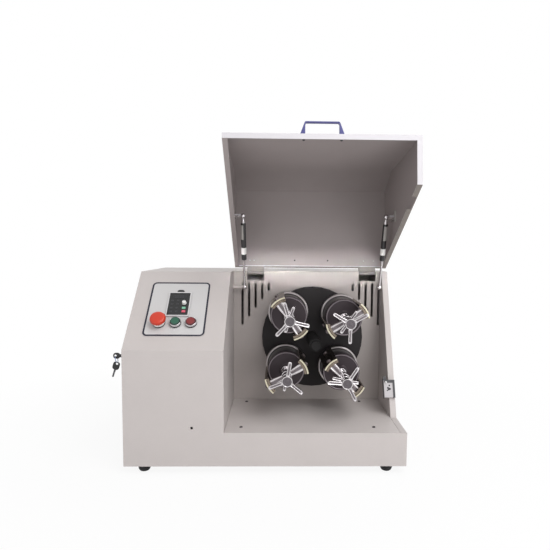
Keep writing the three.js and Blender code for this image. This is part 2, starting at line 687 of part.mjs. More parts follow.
function hoodShell() {
  const body = sidePrism(hoodOutline(0), [hoodLeft, hoodRight]);
  const leftWedge = sidePrism(beyondLeftEdge(0), [hoodLeft - overrun, hoodLeft + hoodFlange + overrun]);
  const leftFlange = sidePrism(beyondLeftEdge(sheet), [hoodLeft - overrun, hoodLeft + hoodFlange]);
  const inside = sidePrism(hoodOutline(sheet), [hoodLeft + sheet, hoodRight - sheet]);
  const hollow = cut(inside, leftFlange);
  const mouth = sidePrism(hoodMouth(), [hoodLeft + hoodFlange, hoodRight - hoodFlange]);
  const notchLow = interlock.low - interlockNotch.margin;
  const notchHigh = interlock.low + interlock.length * Math.cos(edgeTilt) + interlockNotch.margin;
  const notchDepth = [edgeAt(notchLow) - interlockNotch.reach, edgeAt(notchHigh)];
  const notchX = [hoodRight - hoodFlange - overrun, hoodRight - sheet];
  const notch = block(notchX, notchDepth, [notchLow, notchHigh]);
  const leftStud = [hoodLeft + sheet / 2, strut.leftX - strutEye.thickness / 2 - runningGap];
  const rightStud = [strut.rightX + strutEye.thickness / 2 + runningGap, hoodRight - sheet / 2];
  const studs = [leftStud, rightStud].map((x) => alongX(stud.base, x, strut.hoodY, strut.hoodZ, rounds.tiny));
  return join(cut(body, leftWedge, hollow, mouth, notch), ...studs);
}

// One hinge leaf: a knuckle on the pin, an arm and a pad on the hood's rear flange
function hingeLeaf([from, to]) {
  const x = [from + gap, to - gap];
  const flangeBack = edgeAt(hoodTop) - seam / Math.cos(edgeTilt) + gap;
  const armLow = hinge.z + hinge.knuckle - leafThickness;
  const arm = block(x, [flangeBack, hinge.y], [armLow, hinge.z + hinge.knuckle]);
  const padLow = hoodTop - rearFlange;
  const padFront = edgeAt(padLow) - seam / Math.cos(edgeTilt) + gap;
  const padBack = flangeBack + leafThickness;
  const padOutline = [[padFront, padLow], [padBack, padLow], [padBack, hoodTop], [flangeBack, hoodTop]];
  const pad = sidePrism(padOutline, x);
  const knuckle = alongX(hinge.knuckle, x, hinge.y, hinge.z);
  const pinBore = boreFor(hinge.pin, gap, rounds.small);
  const bore = alongX(pinBore, [from - overrun, to + overrun], hinge.y, hinge.z);
  return cut(join(arm, pad, knuckle), bore);
}

// The pull handle on the outside of the hood's front
function hoodHandle() {
  const half = { foot: handle.span / 2, bar: handle.bar / 2 };
  const { thickness, leg, shoulder } = handleSection;
  const inner = half.foot - leg;
  const under = handle.height - thickness;
  const corner = half.bar - thickness;
  const left = [[-inner, gap], [-inner, shoulder], [-corner, under]];
  const mouth = [...left, ...left.map(([x, y]) => [-x, y]).reverse()];
  const outside = [[half.foot, gap], [half.bar, handle.height], [-half.bar, handle.height]];
  const outline = [[-half.foot, gap], ...mouth, ...outside];
  return flatPrism(outline.map(([x, y]) => [x, -y]).reverse(), [-handle.depth / 2, handle.depth / 2]);
}

function buildHood(root) {
  const turning = subGroup(root, 0, hinge.y, hinge.z);
  turning.rotation.x = -hingeOpen;
  const closed = subGroup(turning, 0, -hinge.y, -hinge.z);
  piece(closed, 'hood_shell', hoodShell(), 'paint');
  const handleX = (hoodLeft + hoodRight) / 2 + handle.aside;
  piece(subGroup(closed, handleX, 0, handle.z), 'hood_handle', hoodHandle(), 'navy');
  piece(closed, 'hinge_leaf_left', hingeLeaf(hingeSpans[0]), 'zinc');
  piece(closed, 'hinge_leaf_right', hingeLeaf(hingeSpans[1]), 'zinc');
}

// Gas struts, drawn along y from the lower stud
const hoodStud = new THREE.Vector2(strut.hoodY - hinge.y, strut.hoodZ - hinge.z);
const openStud = hoodStud.clone().rotateAround(new THREE.Vector2(), -hingeOpen);
const openReach = openStud.clone().add(new THREE.Vector2(hinge.y - strut.lowY, hinge.z - strut.lowZ));

function strutCylinder(reach) {
  const top = reach - strutBody.start;
  const low = top - strutBody.length;
  const floor = top - strutBody.floor;
  const { radius } = strutBody;
  const bore = boreFor(strutRod.radius, gap, rounds.small);
  const profile = [[0, floor], [bore, floor], [bore, low], [radius, low], [radius, top], [0, top]];
  return join(turned(profile, rounds.small), strutEyePlate(top - strutBody.floor / 2, reach));
}

// A flat eye round a stud, with a neck that joins it to the strut
function strutEyePlate(neckEnd, centre) {
  const half = strutEye.thickness / 2;
  const x = [-half, half];
  const eye = alongX(strutEye.radius, x, centre, 0);
  const neckY = [Math.min(neckEnd, centre), Math.max(neckEnd, centre)];
  const neck = block([-half, half], neckY, [-half, half]);
  const hole = boreFor(stud.radius, gap, rounds.tiny);
  return cut(join(eye, neck), alongX(hole, [-half - overrun, half + overrun], centre, 0, rounds.tiny));
}

function strutRodBody(reach) {
  const end = reach - strutBody.start - strutBody.length + strutRod.insertion;
  const neckEnd = strutEye.radius + strutEye.thickness;
  const rod = alongY(strutRod.radius, [neckEnd - strutEye.thickness / 2, end], 0, 0, rounds.tiny);
  return join(rod, strutEyePlate(neckEnd, 0));
}

function buildStruts(root) {
  for (const [side, x] of [['left', strut.leftX], ['right', strut.rightX]]) {
    const line = subGroup(root, x, strut.lowY, strut.lowZ);
    line.rotation.x = openReach.angle();
    piece(line, `strut_cylinder_${side}`, strutCylinder(openReach.length()), 'blackPlastic');
    piece(line, `strut_rod_${side}`, strutRodBody(openReach.length()), 'steel');
  }
}

// Interlock, in a frame that leans with the side panel's flange
function buildInterlock(root) {
  const place = subGroup(root, cabinet.width - interlock.rightInset, edgeAt(interlock.low), interlock.low);
  place.rotation.x = -edgeTilt;
  const face = -gap - interlock.thickness;
  const body = block([-interlock.width, 0], [face, -gap], [0, interlock.length]);
  const hole = { x: -interlock.width + plunger.inset, z: interlock.length - plunger.inset };
  const boreY = [face - overrun, -gap - plunger.floor];
  const bore = alongY(boreFor(plunger.radius, gap, rounds.small), boreY, hole.x, hole.z);
  piece(place, 'interlock_switch', cut(body, bore), 'greyPlastic');
  const from = face - plunger.proud;
  const { radius, bead, length } = plunger;
  const to = from + length;
  const profile = [[0, from], [bead, from], [radius, from + bead], [radius, to], [0, to]];
  const tip = turned(profile, rounds.small);
  piece(subGroup(place, hole.x, 0, hole.z), 'interlock_plunger', tip, 'whitePlastic');
}

// Mill, in a frame at the disc's front face, with y along its axis and the front at negative y
const stationAngles = [135, 45, 225, 315].map((angle) => THREE.MathUtils.degToRad(angle + mill.turn));

// Each station's turn of its bar, its lock nut and its star, as seen from the front
const stations = [
  { name: 'upper_left', bar: 125, nut: 72, star: -13 },
  { name: 'upper_right', bar: 31, nut: 54, star: 29 },
  { name: 'lower_left', bar: 30, nut: 78, star: -39 },
  { name: 'lower_right', bar: 134, nut: 169, star: -63 },
];

function planetDisc() {
  const { radius, thickness, edge } = disc;
  const tip = -boss.length - boss.nutLength;
  const nut = [[0, tip], [boss.nut, tip], [boss.nut, -boss.length]];
  const front = [...nut, [boss.radius, -boss.length], [boss.radius, 0]];
  const rim = [[radius - edge, 0], [radius, edge], [radius, thickness], [0, thickness]];
  const bore = boreFor(planetShaft, gap, rounds.middle);
  const depth = [-overrun, thickness + overrun];
  const holes = stationAngles.map((angle) => {
    const [x, z] = [Math.cos(angle) * mill.pitchRadius, Math.sin(angle) * mill.pitchRadius];
    return alongY(bore, depth, x, z, rounds.middle);
  });
  return cut(turned([...front, ...rim], rounds.fine), ...holes);
}

// A toothed wheel as an outline in x and z
function gearOutline(teeth, tipRadius) {
  const points = [];
  const pitch = (Math.PI * 2) / teeth;
  const rootRadius = tipRadius - gears.toothDepth;
  const { tipFrom, tipTo, rootFrom, rootTo } = pitchShares;
  for (let i = 0; i < teeth; i += 1) {
    const tooth = [[tipRadius, tipFrom], [tipRadius, tipTo], [rootRadius, rootFrom], [rootRadius, rootTo]];
    for (const [radius, share] of tooth) {
      const angle = (i + share) * pitch;
      points.push([radius * Math.cos(angle), radius * Math.sin(angle)]);
    }
  }
  return points;
}

const planetGearRadius = mill.pitchRadius / (1 + gears.ratio);
const gearSpan = [gears.from, gears.from + gears.thickness];

// A sector of a ring round y, between two places in y
function ringSector(inner, outer, width, [from, to]) {
  const half = width / (inner + outer);
  const shape = new THREE.Shape();
  shape.absarc(0, 0, outer, -half, half, false);
  shape.absarc(0, 0, inner, half, -half, true);
  return frontPrism(shape, [from, to]);
}

// The cup that carries a jar, with its two hooked arms, its shaft and the gear on the shaft's end
function planetCup() {
  const inside = jar.radius + jar.clearance;
  const seat = -cup.floor - cup.base;
  const shaftEnd = gears.from + overrun;
  const wall = [[0, seat], [inside, seat], [inside, -cup.rim], [cup.radius, -cup.rim]];
  const back = [[cup.radius, -cup.floor], [planetShaft, -cup.floor], [planetShaft, shaftEnd], [0, shaftEnd]];
  const profile = [...wall, ...back];
  const body = turned(profile, rounds.middle);
  const gear = frontPrism(gearOutline(gears.teeth, planetGearRadius - runningGap / 2), gearSpan);
  const outer = inside + bracket.thickness;
  const arm = ringSector(inside, outer, bracket.width, [-bracket.reach, -cup.rim + overrun]);
  const hookSpan = [-bracket.reach, -bracket.reach + bracket.hook];
  const hook = ringSector(inside - bracket.hookInset, inside + overrun, bracket.width, hookSpan);
  const boltSpan = [inside + bracket.thickness / 2, outer + bracketBolt.height];
  const bolt = alongX(bracketBolt.radius, boltSpan, -bracketBolt.place, 0, rounds.tiny);
  const oneSide = join(arm, hook, bolt);
  return join(body, gear, oneSide, oneSide.clone().rotateY(Math.PI));
}

// A grinding jar, open in front
function jarBody() {
  const back = -cup.floor - cup.base - gap;
  const front = -lid.front + lid.thickness + gap;
  const inner = jar.radius - jar.wall;
  const floor = back - jar.bottom;
  const wall = [[0, floor], [inner, floor], [inner, front], [jar.radius, front]];
  const profile = [...wall, [jar.radius, back - jar.edge], [jar.radius - jar.edge, back], [0, back]];
  return turned(profile, rounds.middle);
}

function jarLid() {
  const front = -lid.front;
  const back = front + lid.thickness;
  const spigot = jar.radius - jar.wall - runningGap;
  const pad = [[0, front - lid.padHeight], [lid.pad, front - lid.padHeight], [lid.pad, front]];
  const edge = [[jar.radius - jar.edge, front], [jar.radius, front + jar.edge], [jar.radius, back]];
  const profile = [...pad, ...edge, [spigot, back], [spigot, back + lid.spigot], [0, back + lid.spigot]];
  return turned(profile, rounds.middle);
}

// The clamp bar under the hooks, with the two-armed lock nut tightened against it
function clampBarBody(nutTurn) {
  const front = -bracket.reach + bracket.hook + gap;
  const back = front + clampBar.thickness;
  const half = clampBar.width / 2;
  const waist = clampBar.waist / 2;
  const end = Math.sqrt((jar.radius + jar.clearance) ** 2 - half ** 2) - gap;
  const shoulder = end - clampBar.wing;
  const { radius, arm, tip } = lockNut;
  const left = [[-end, -half], [-shoulder, -half], [-radius, -waist]];
  const lower = [...left, ...left.map(([x, z]) => [-x, z]).reverse()];
  const upper = lower.map(([x, z]) => [-x, -z]);
  const bar = frontPrism([...lower, ...upper], [front, back]);
  const nut = alongY(radius, [-lockNut.front, front + overrun]);
  const root = lockNut.width / 2;
  const armOutline = [[-arm, -tip], [0, -root], [arm, -tip], [arm, tip], [0, root], [-arm, tip]];
  const armDepth = [-lockNut.front + gap, -lockNut.front + gap + lockNut.thickness];
  const arms = frontPrism(armOutline, armDepth).rotateY(-nutTurn);
  const screwBore = boreFor(starScrew.screw, gap, rounds.small);
  return cut(join(bar, nut, arms), alongY(screwBore, [-lockNut.front - overrun, back + overrun]));
}

// The star knob with its long screw and the pad that presses on the lid
function starScrewBody() {
  const front = -starScrew.front;
  const back = -lid.front - lid.padHeight - gap;
  const { cap, hub, screw, arm } = starScrew;
  const { root, tip } = starArm;
  const hubFront = front + starScrew.capHeight;
  const hubBack = front + starScrew.hubLength;
  const padFront = back - pressurePad.thickness;
  const knobProfile = [[0, front], [cap, front], [hub, hubFront], [hub, hubBack], [screw, hubBack]];
  const { radius } = pressurePad;
  const padProfile = [[screw, padFront], [radius, padFront], [radius, back], [0, back]];
  const depth = [hubFront, hubFront + starArm.thickness];
  const arms = [0, 1, 2].map((i) => {
    const shape = new THREE.Shape();
    shape.moveTo(0, -root);
    shape.lineTo(arm - tip, -tip);
    shape.absarc(arm - tip, 0, tip, -Math.PI / 2, Math.PI / 2);
    shape.lineTo(0, root);
    return frontPrism(shape, depth).rotateY((i * Math.PI * 2) / 3);
  });
  return join(turned([...knobProfile, ...padProfile], rounds.small), ...arms);
}

function buildStation(parent, station, angle) {
  const { degToRad } = THREE.MathUtils;
  const x = Math.cos(angle) * mill.pitchRadius;
  const z = Math.sin(angle) * mill.pitchRadius;
  const place = subGroup(parent, x, 0, z);
  place.rotation.y = -degToRad(station.bar);
  piece(place, `planet_cup_${station.name}`, planetCup(), 'steel');
  piece(place, `jar_${station.name}`, jarBody(), 'darkSteel');
  piece(place, `jar_lid_${station.name}`, jarLid(), 'darkSteel');
  piece(place, `clamp_bar_${station.name}`, clampBarBody(degToRad(station.nut - station.bar)), 'chrome');
  const star = piece(place, `star_screw_${station.name}`, starScrewBody(), 'chrome');
  star.rotation.y = -degToRad(station.star - station.bar);
}

function bearingHousing() {
  const sunRadius = planetGearRadius * gears.ratio - runningGap / 2;
  const sun = frontPrism(gearOutline(gears.teeth * gears.ratio, sunRadius), gearSpan);
  const nose = alongY(housing.nose, [gearSpan[1] - overrun, housing.rear], 0, 0, rounds.middle);
  const half = housing.plate / 2;
  const plateY = [housing.plateFrom, housing.plateFrom + housing.plateThickness];
  const plate = block([-half, half], plateY, [-half, half]);
  const wall = wallBack - discFace + gap;
  const legs = [[-1, -1], [-1, 1], [1, -1], [1, 1]].map(([sideX, sideZ]) => {
    const [x, z] = [sideX * legPlace, sideZ * legPlace];
    const legX = [x - housing.leg / 2, x + housing.leg / 2];
    return block(legX, [wall, plateY[1]], [z - housing.leg / 2, z + housing.leg / 2]);
  });
  const bore = boreFor(spindle.radius, gap, rounds.middle);
  const hollow = alongY(bore, [gears.from - overrun, housing.rear + overrun], 0, 0, rounds.middle);
  return cut(join(sun, nose, plate, ...legs), hollow);
}

// The rim of a flat belt pulley, with a lip on each side
function grooveProfile(radius, from) {
  const to = from + pulley.thickness;
  const rim = radius + belt.thickness;
  const { lip } = pulley;
  const lips = { front: from + lip, rear: to - lip };
  const front = [[rim, from], [rim, lips.front], [radius, lips.front]];
  return [...front, [radius, lips.rear], [rim, lips.rear], [rim, to]];
}

function mainSpindle() {
  const from = disc.thickness + gap;
  const flangeEnd = from + spindle.flangeThickness;
  const to = pulley.from + pulley.thickness;
  const inner = pulley.radius - pulley.web;
  const webBack = pulley.from + pulley.web;
  const shaft = [[0, from], [spindle.flange, from], [spindle.flange, flangeEnd], [spindle.radius, flangeEnd],
    [spindle.radius, pulley.from]];
  const hub = [[inner, to], [inner, webBack], [pulley.hub, webBack], [pulley.hub, to], [0, to]];
  return turned([...shaft, ...grooveProfile(pulley.radius, pulley.from), ...hub], rounds.middle);
}

// The motor's place seen from the mill's axis
const motorOffset = { x: motor.x - mill.x, z: motor.z - mill.z };

// A flat loop round both pulleys, grown outward from their rims
function beltLoop(grown) {
  const distance = Math.hypot(motorOffset.x, motorOffset.z);
  const lean = Math.acos((pulley.radius - pulley.motorRadius) / distance);
  const towards = Math.atan2(motorOffset.z, motorOffset.x);
  const shape = new THREE.Shape();
  shape.absarc(0, 0, pulley.radius + grown, towards + lean, towards - lean + Math.PI * 2, false);
  const motorRim = pulley.motorRadius + grown;
  shape.absarc(motorOffset.x, motorOffset.z, motorRim, towards - lean, towards + lean, false);
  return shape;
}

function driveBelt() {
  const lip = pulley.lip + gap;
  const span = [pulley.from + lip, pulley.from + pulley.thickness - lip];
  const options = { depth: span[1] - span[0], bevelEnabled: false, curveSegments: rounds.middle / 2 };
  const basis = new THREE.Matrix4().makeBasis(axisX, axisZ, axisY.clone().negate());
  const loops = [belt.slack + belt.thickness, belt.slack].map((grown, inner) => {
    const depth = options.depth + inner * overrun * 2;
    const geometry = new THREE.ExtrudeGeometry(beltLoop(grown), { ...options, depth });
    return geometry.applyMatrix4(basis).translate(0, span[1] + inner * overrun, 0);
  });
  return cut(...loops);
}

function buildMill(root) {
  const axis = subGroup(root, mill.x, discFace, mill.z);
  piece(axis, 'planet_disc', planetDisc(), 'darkSteel');
  stations.forEach((station, i) => buildStation(axis, station, stationAngles[i]));
  piece(axis, 'bearing_housing', bearingHousing(), 'steel');
  piece(axis, 'main_spindle', mainSpindle(), 'steel');
  piece(axis, 'drive_belt', driveBelt(), 'rubber');
}

// Motor in the tower
function motorBody() {
  const body = alongY(motor.radius, [motor.front, motor.rear], 0, 0, rounds.middle);
  const half = motorStand.width / 2;
  const footY = [motor.front + motorStand.inset, motor.rear - motorStand.inset];
  const stand = block([-half, half], footY, [basePlate + gap - motor.z, motorStand.top - motor.z]);
  const boreY = [motor.rear - motor.shaftDepth, motor.rear + overrun];
  return cut(join(body, stand), alongY(boreFor(motor.shaft, gap, rounds.small), boreY));
}

function motorPulley() {
  const from = discFace + pulley.from;
  const to = from + pulley.thickness;
  const profile = [[0, from], ...grooveProfile(pulley.motorRadius, from), [0, to]];
  const shaft = alongY(motor.shaft, [motor.rear - motor.shaftDepth + runningGap, from + overrun]);
  return join(turned(profile, rounds.middle), shaft);
}

function buildMotor(root) {
  const place = subGroup(root, motor.x, 0, motor.z);
  piece(place, 'motor', motorBody(), 'greyPlastic');
  piece(place, 'motor_pulley', motorPulley(), 'steel');
}

// The whole machine, with its origin on the ground below the middle of its bounding box
const machine = new THREE.Group();
const whole = new THREE.Group();
machine.add(whole);
buildCabinet(whole);
buildPanel(whole);
buildLock(whole);
buildHood(whole);
buildStruts(whole);
buildInterlock(whole);
buildMill(whole);
buildMotor(whole);
machine.updateMatrixWorld(true);
const bounds = new THREE.Box3().setFromObject(machine, true);
whole.position.set(-(bounds.min.x + bounds.max.x) / 2, -(bounds.min.y + bounds.max.y) / 2, foot.height);

export default machine;
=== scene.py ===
"""Looks of a bench planetary ball mill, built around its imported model.

Sizes are in millimetres, in the machine's own frame: x runs right from the cabinet's left
side, y back from its front and z up from its lower edge. Workshop turns them into metres.
"""

import json
import logging
import math
from dataclasses import dataclass
from enum import Enum
from typing import Any, Callable, Iterable, Sequence

import bmesh
import bpy
from mathutils import Matrix, Vector

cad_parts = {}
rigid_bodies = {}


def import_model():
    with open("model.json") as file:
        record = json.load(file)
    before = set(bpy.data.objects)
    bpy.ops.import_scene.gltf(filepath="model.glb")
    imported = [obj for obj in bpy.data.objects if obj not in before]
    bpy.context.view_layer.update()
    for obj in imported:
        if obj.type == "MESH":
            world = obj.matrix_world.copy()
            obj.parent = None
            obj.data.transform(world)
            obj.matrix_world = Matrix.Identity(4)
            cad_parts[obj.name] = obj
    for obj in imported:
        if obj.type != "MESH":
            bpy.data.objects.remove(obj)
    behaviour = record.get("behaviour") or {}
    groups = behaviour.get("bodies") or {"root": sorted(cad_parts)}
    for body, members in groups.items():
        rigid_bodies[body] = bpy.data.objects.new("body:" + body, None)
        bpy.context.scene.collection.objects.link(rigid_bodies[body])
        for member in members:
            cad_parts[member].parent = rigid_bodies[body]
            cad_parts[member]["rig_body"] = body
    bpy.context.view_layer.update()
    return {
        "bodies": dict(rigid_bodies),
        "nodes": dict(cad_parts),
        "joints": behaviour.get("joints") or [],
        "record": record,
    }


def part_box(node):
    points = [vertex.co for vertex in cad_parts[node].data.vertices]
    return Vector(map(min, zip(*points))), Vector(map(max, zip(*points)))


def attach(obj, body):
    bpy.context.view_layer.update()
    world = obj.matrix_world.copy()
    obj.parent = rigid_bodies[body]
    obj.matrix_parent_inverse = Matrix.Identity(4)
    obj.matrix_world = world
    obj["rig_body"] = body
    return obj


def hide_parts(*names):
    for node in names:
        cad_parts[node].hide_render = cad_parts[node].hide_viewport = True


LOG = logging.getLogger("ball_mill")
MM = 0.001
HERE = Matrix.Identity(4)
TO_FRONT = Matrix.Rotation(math.pi / 2, 4, "X")
TO_RIGHT = Matrix.Rotation(math.pi / 2, 4, "Y")
TO_LEFT = Matrix.Rotation(-math.pi / 2, 4, "Y")
UPSIDE_DOWN = Matrix.Diagonal((1, -1, -1, 1))
Point = tuple[float, float]
Place = tuple[float, float, float]
Rgb = tuple[int, int, int]
Span = tuple[float, float]
Face = bpy.types.MeshPolygon
Socket = bpy.types.NodeSocket
Tree = bpy.types.NodeTree

# Close-up looks that all finishes share
WORN_RGB = (150, 146, 142)
DUST_RGB = (150, 144, 136)
COAT_ROUGHNESS = 0.15
SMOOTHEST = 0.04
RELIEF = 0.0002
GRAIN_SCALE = 900.0
WORN_EDGE = (0.52, 0.62)
DUSTY_SLOPE = 0.5

# The place of the disc's face, from the cabinet's front
DISC_FACE = 262.0

# Edges of every piece
WELD_GAP = 1e-6
FLAT_ANGLE = math.radians(0.5)
EDGE_ANGLE = math.radians(38)

# How faces are told apart, as parts of their normals and in millimetres
SQUARE = 0.7
TILTED = 0.3
LEANING = 0.2
NEAR = 0.5


class Surface(Enum):
    """How a finish looks close up."""

    POWDER_COAT = "powder_coat"
    BRUSHED = "brushed"
    CAST = "cast"
    MOULDED = "moulded"


@dataclass(frozen=True)
class Finish:
    """One finish: its colour in sRGB, its gloss and what shows on it close up."""

    name: str
    slot: str
    rgb: Rgb
    surface: Surface
    roughness: float
    metallic: float = 0.0
    coat: float = 0.0
    contrast: float = 0.06
    grain: float = GRAIN_SCALE
    bump: float = 0.15
    wear: float = 0.0
    dust: float = 0.0


# Painted sheet metal
COATED = Surface.POWDER_COAT
CABINET_PAINT = Finish("cabinet_paint", "cabinet_paint", (192, 185, 183), COATED, 0.5, wear=0.25, dust=0.1)
HOOD_PAINT = Finish("hood_paint", "hood_paint", (206, 203, 207), COATED, 0.45, wear=0.1)
# Hood paint made darker on faces that look sideways and on the top: painted shade.
HOOD_SIDE_SHADE = Finish("hood_side_shade", "hood_paint", (184, 180, 180), COATED, 0.5, wear=0.2)
# Hood paint made much darker on the right flange's lower part, which faces down: painted shade.
HOOD_FOLD_SHADE = Finish("hood_fold_shade", "hood_paint", (127, 119, 113), COATED, 0.5)
# Hood paint made darker on the hood's inside: painted shade.
HOOD_LINING_SHADE = Finish("hood_lining_shade", "hood_paint", (156, 147, 146), COATED, 0.55, contrast=0.08)
# Cabinet paint made darker for the back wall: painted shade.
CHAMBER_PAINT_SHADE = Finish("chamber_paint", "chamber_paint", (178, 170, 167), COATED, 0.5, wear=0.2, dust=0.15)
# Cabinet paint made lighter for the chamber floor: painted light.
FLOOR_PAINT_LIT = Finish("floor_paint_lit", "chamber_paint", (202, 195, 193), COATED, 0.5, wear=0.2, dust=0.1)
# Hood paint darkened for the hinge leaves, to match the shaded lining: painted shade.
LEAF_PAINT_SHADE = Finish("leaf_paint_shade", "zinc_plate", (128, 121, 118), COATED, 0.5, wear=0.1)
NAVY = Finish("navy_coat", "navy_plastic", (66, 66, 126), COATED, 0.36, wear=0.1, grain=1200.0)
BLACK_TUBE = Finish("black_tube", "black_tube", (20, 18, 20), COATED, 0.32, coat=0.4, bump=0.03)

# Plastics, rubber and prints
MOULDED = Surface.MOULDED
PANEL_FILM = Finish("panel_film", "panel_overlay", (196, 194, 194), MOULDED, 0.45, contrast=0.03, bump=0.05)
NAVY_INK = Finish("navy_ink", "panel_overlay", (8, 6, 34), MOULDED, 0.4, contrast=0.05, bump=0.02)
RUBBER = Finish("rubber", "black_rubber", (26, 26, 27), MOULDED, 0.8, grain=1400.0, bump=0.3, dust=0.3)
BLACK_PLASTIC = Finish("black_plastic", "black_plastic", (24, 24, 27), MOULDED, 0.42, coat=0.1, dust=0.1)
KEYPAD_FACE = Finish("keypad_face", "black_plastic", (9, 9, 11), MOULDED, 0.4, coat=0.1, bump=0.05)
DISPLAY = Finish("display", "black_plastic", (20, 20, 24), MOULDED, 0.3, coat=0.1, bump=0.0)
ICON_INK = Finish("icon_ink", "black_plastic", (72, 72, 76), MOULDED, 0.5, bump=0.0)
INVERTER_CASE = Finish("inverter_case", "black_plastic", (206, 204, 205), MOULDED, 0.5, bump=0.1)
WHITE_PLASTIC = Finish("white_plastic", "white_plastic", (232, 232, 230), MOULDED, 0.35, coat=0.2, bump=0.05)
GREY_PLASTIC = Finish("grey_plastic", "grey_plastic", (186, 182, 184), MOULDED, 0.45, bump=0.1)
# Black for the switch's screw marks, and for the back wall's slots as painted shade.
BLACK_MARK_AND_SLOT_SHADE = Finish("black_mark_and_slot_shade", "grey_plastic", (26, 22, 26), MOULDED, 0.5, bump=0.0)
DARK_PLASTIC = Finish("dark_plastic", "grey_plastic", (58, 58, 61), MOULDED, 0.45, bump=0.1)
GREEN = Finish("green_cap", "green_plastic", (22, 84, 62), MOULDED, 0.35, coat=0.2, bump=0.04)
# The green cap's edge: a darker copy of its plastic, painted shade round the face.
GREEN_EDGE_SHADE = Finish("green_edge_shade", "green_plastic", (14, 56, 44), MOULDED, 0.35, coat=0.2, bump=0.04)
PALE_GREEN = Finish("pale_green_key", "green_plastic", (126, 190, 160), MOULDED, 0.4, bump=0.04)
RED = Finish("red_cap", "red_plastic", (122, 26, 28), MOULDED, 0.35, coat=0.2, bump=0.04)
# The red cap's edge: a darker copy of its plastic, painted shade round the face.
RED_EDGE_SHADE = Finish("red_edge_shade", "red_plastic", (84, 16, 22), MOULDED, 0.35, coat=0.2, bump=0.04)
PALE_RED = Finish("pale_red_key", "red_plastic", (214, 92, 112), MOULDED, 0.4, bump=0.04)
ESTOP_RED = Finish("estop_red", "estop_red", (194, 50, 24), MOULDED, 0.42, coat=0.1, bump=0.08)
STRUT_LABEL = Finish("strut_label", "black_tube", (172, 168, 164), MOULDED, 0.5, contrast=0.1, bump=0.02)
WHITE_BAND = Finish("white_band", "black_tube", (226, 224, 222), MOULDED, 0.5, bump=0.02)

# Bare and plated metal
BRUSHED = Surface.BRUSHED
ZINC = Finish("zinc", "zinc_plate", (186, 186, 184), BRUSHED, 0.38, 0.9, wear=0.1)
# Dark zinc for screws, and for the strut brackets' holes as painted shade.
DARK_ZINC_AND_HOLE_SHADE = Finish("dark_zinc_and_hole_shade", "zinc_plate", (70, 66, 68), BRUSHED, 0.4, 0.8, wear=0.2)
CHROME = Finish("chrome", "bright_chrome", (212, 208, 210), BRUSHED, 0.14, 1.0, bump=0.02)
BLUE_STEEL = Finish("blue_steel", "bright_chrome", (134, 150, 186), BRUSHED, 0.25, 0.9, bump=0.02)
KEY_STEEL = Finish("key_steel", "bright_chrome", (92, 92, 94), BRUSHED, 0.35, 0.8, bump=0.05)
# Groove floors: a darker copy of the chrome, painted shade.
GROOVE_SHADE = Finish("groove", "bright_chrome", (118, 111, 114), BRUSHED, 0.3, 0.9, bump=0.05)
# The cap in the star hub's recess: a darker copy of the chrome, painted shade.
STAR_CAP_SHADE = Finish("star_cap_shade", "bright_chrome", (104, 98, 102), BRUSHED, 0.34, 0.8, bump=0.1)
CUP_STEEL = Finish("cup_steel", "bracket_steel", (92, 84, 86), BRUSHED, 0.3, 0.9, wear=0.4)
# Pale steel on the cup's rim: a polished lip, lightened as a painted highlight.
CUP_LIP_HIGHLIGHT = Finish("cup_lip_highlight", "bracket_steel", (206, 200, 200), BRUSHED, 0.3, 0.7, bump=0.05)
BRACKET = Finish("bracket_steel", "bracket_steel", (132, 120, 108), BRUSHED, 0.26, 1.0, wear=0.3)
# The bracket arms' front ends: a pale copy of the bracket steel, painted highlight.
BRACKET_EDGE_HIGHLIGHT = Finish("bracket_edge_highlight", "bracket_steel", (214, 207, 184), BRUSHED, 0.24, 0.9, bump=0.05)
JAR_STEEL = Finish("jar_steel", "jar_steel", (70, 64, 66), BRUSHED, 0.34, 0.85, contrast=0.12, wear=0.4)
LID_STEEL = Finish("lid_steel", "jar_steel", (56, 48, 52), BRUSHED, 0.42, 0.5, contrast=0.12, wear=0.2)
# A pale copy of the jar steel on the lid's rim: painted highlight.
LID_RING_HIGHLIGHT = Finish("lid_ring_highlight", "jar_steel", (128, 120, 124), BRUSHED, 0.3, 0.8, bump=0.05)
MACHINED = Finish("machined", "machined_steel", (160, 158, 155), BRUSHED, 0.3, 1.0)

# Castings
CAST = Surface.CAST
DISC_STEEL = Finish("disc_steel", "dark_steel", (28, 23, 25), CAST, 0.7, contrast=0.2, bump=0.1, wear=0.15)
BOSS_STEEL = Finish("boss_steel", "dark_steel", (13, 11, 12), CAST, 0.8, contrast=0.2, bump=0.1)
HOUSING = Finish("housing", "cast_housing", (92, 96, 100), CAST, 0.65, bump=0.5)
MOTOR_PAINT = Finish("motor_paint", "motor_paint", (84, 98, 112), CAST, 0.5, bump=0.3)


def add_node(tree: Tree, kind: str, values: dict | None = None, sources: dict | None = None,
             **settings: Any) -> bpy.types.Node:
    """Adds a shader node.

    Args:
        tree: Where it goes.
        kind: Its type, without the words that all types start with.
        values: What its inputs hold, by name or number.
        sources: The sockets that feed its inputs, by name or number.
        settings: Its own properties, set before its inputs.

    Returns:
        The node.
    """
    node = tree.nodes.new(f"ShaderNode{kind}")
    for name, value in settings.items():
        setattr(node, name, value)
    for key, value in (values or {}).items():
        node.inputs[key].default_value = value
    for key, socket in (sources or {}).items():
        tree.links.new(socket, node.inputs[key])
    return node


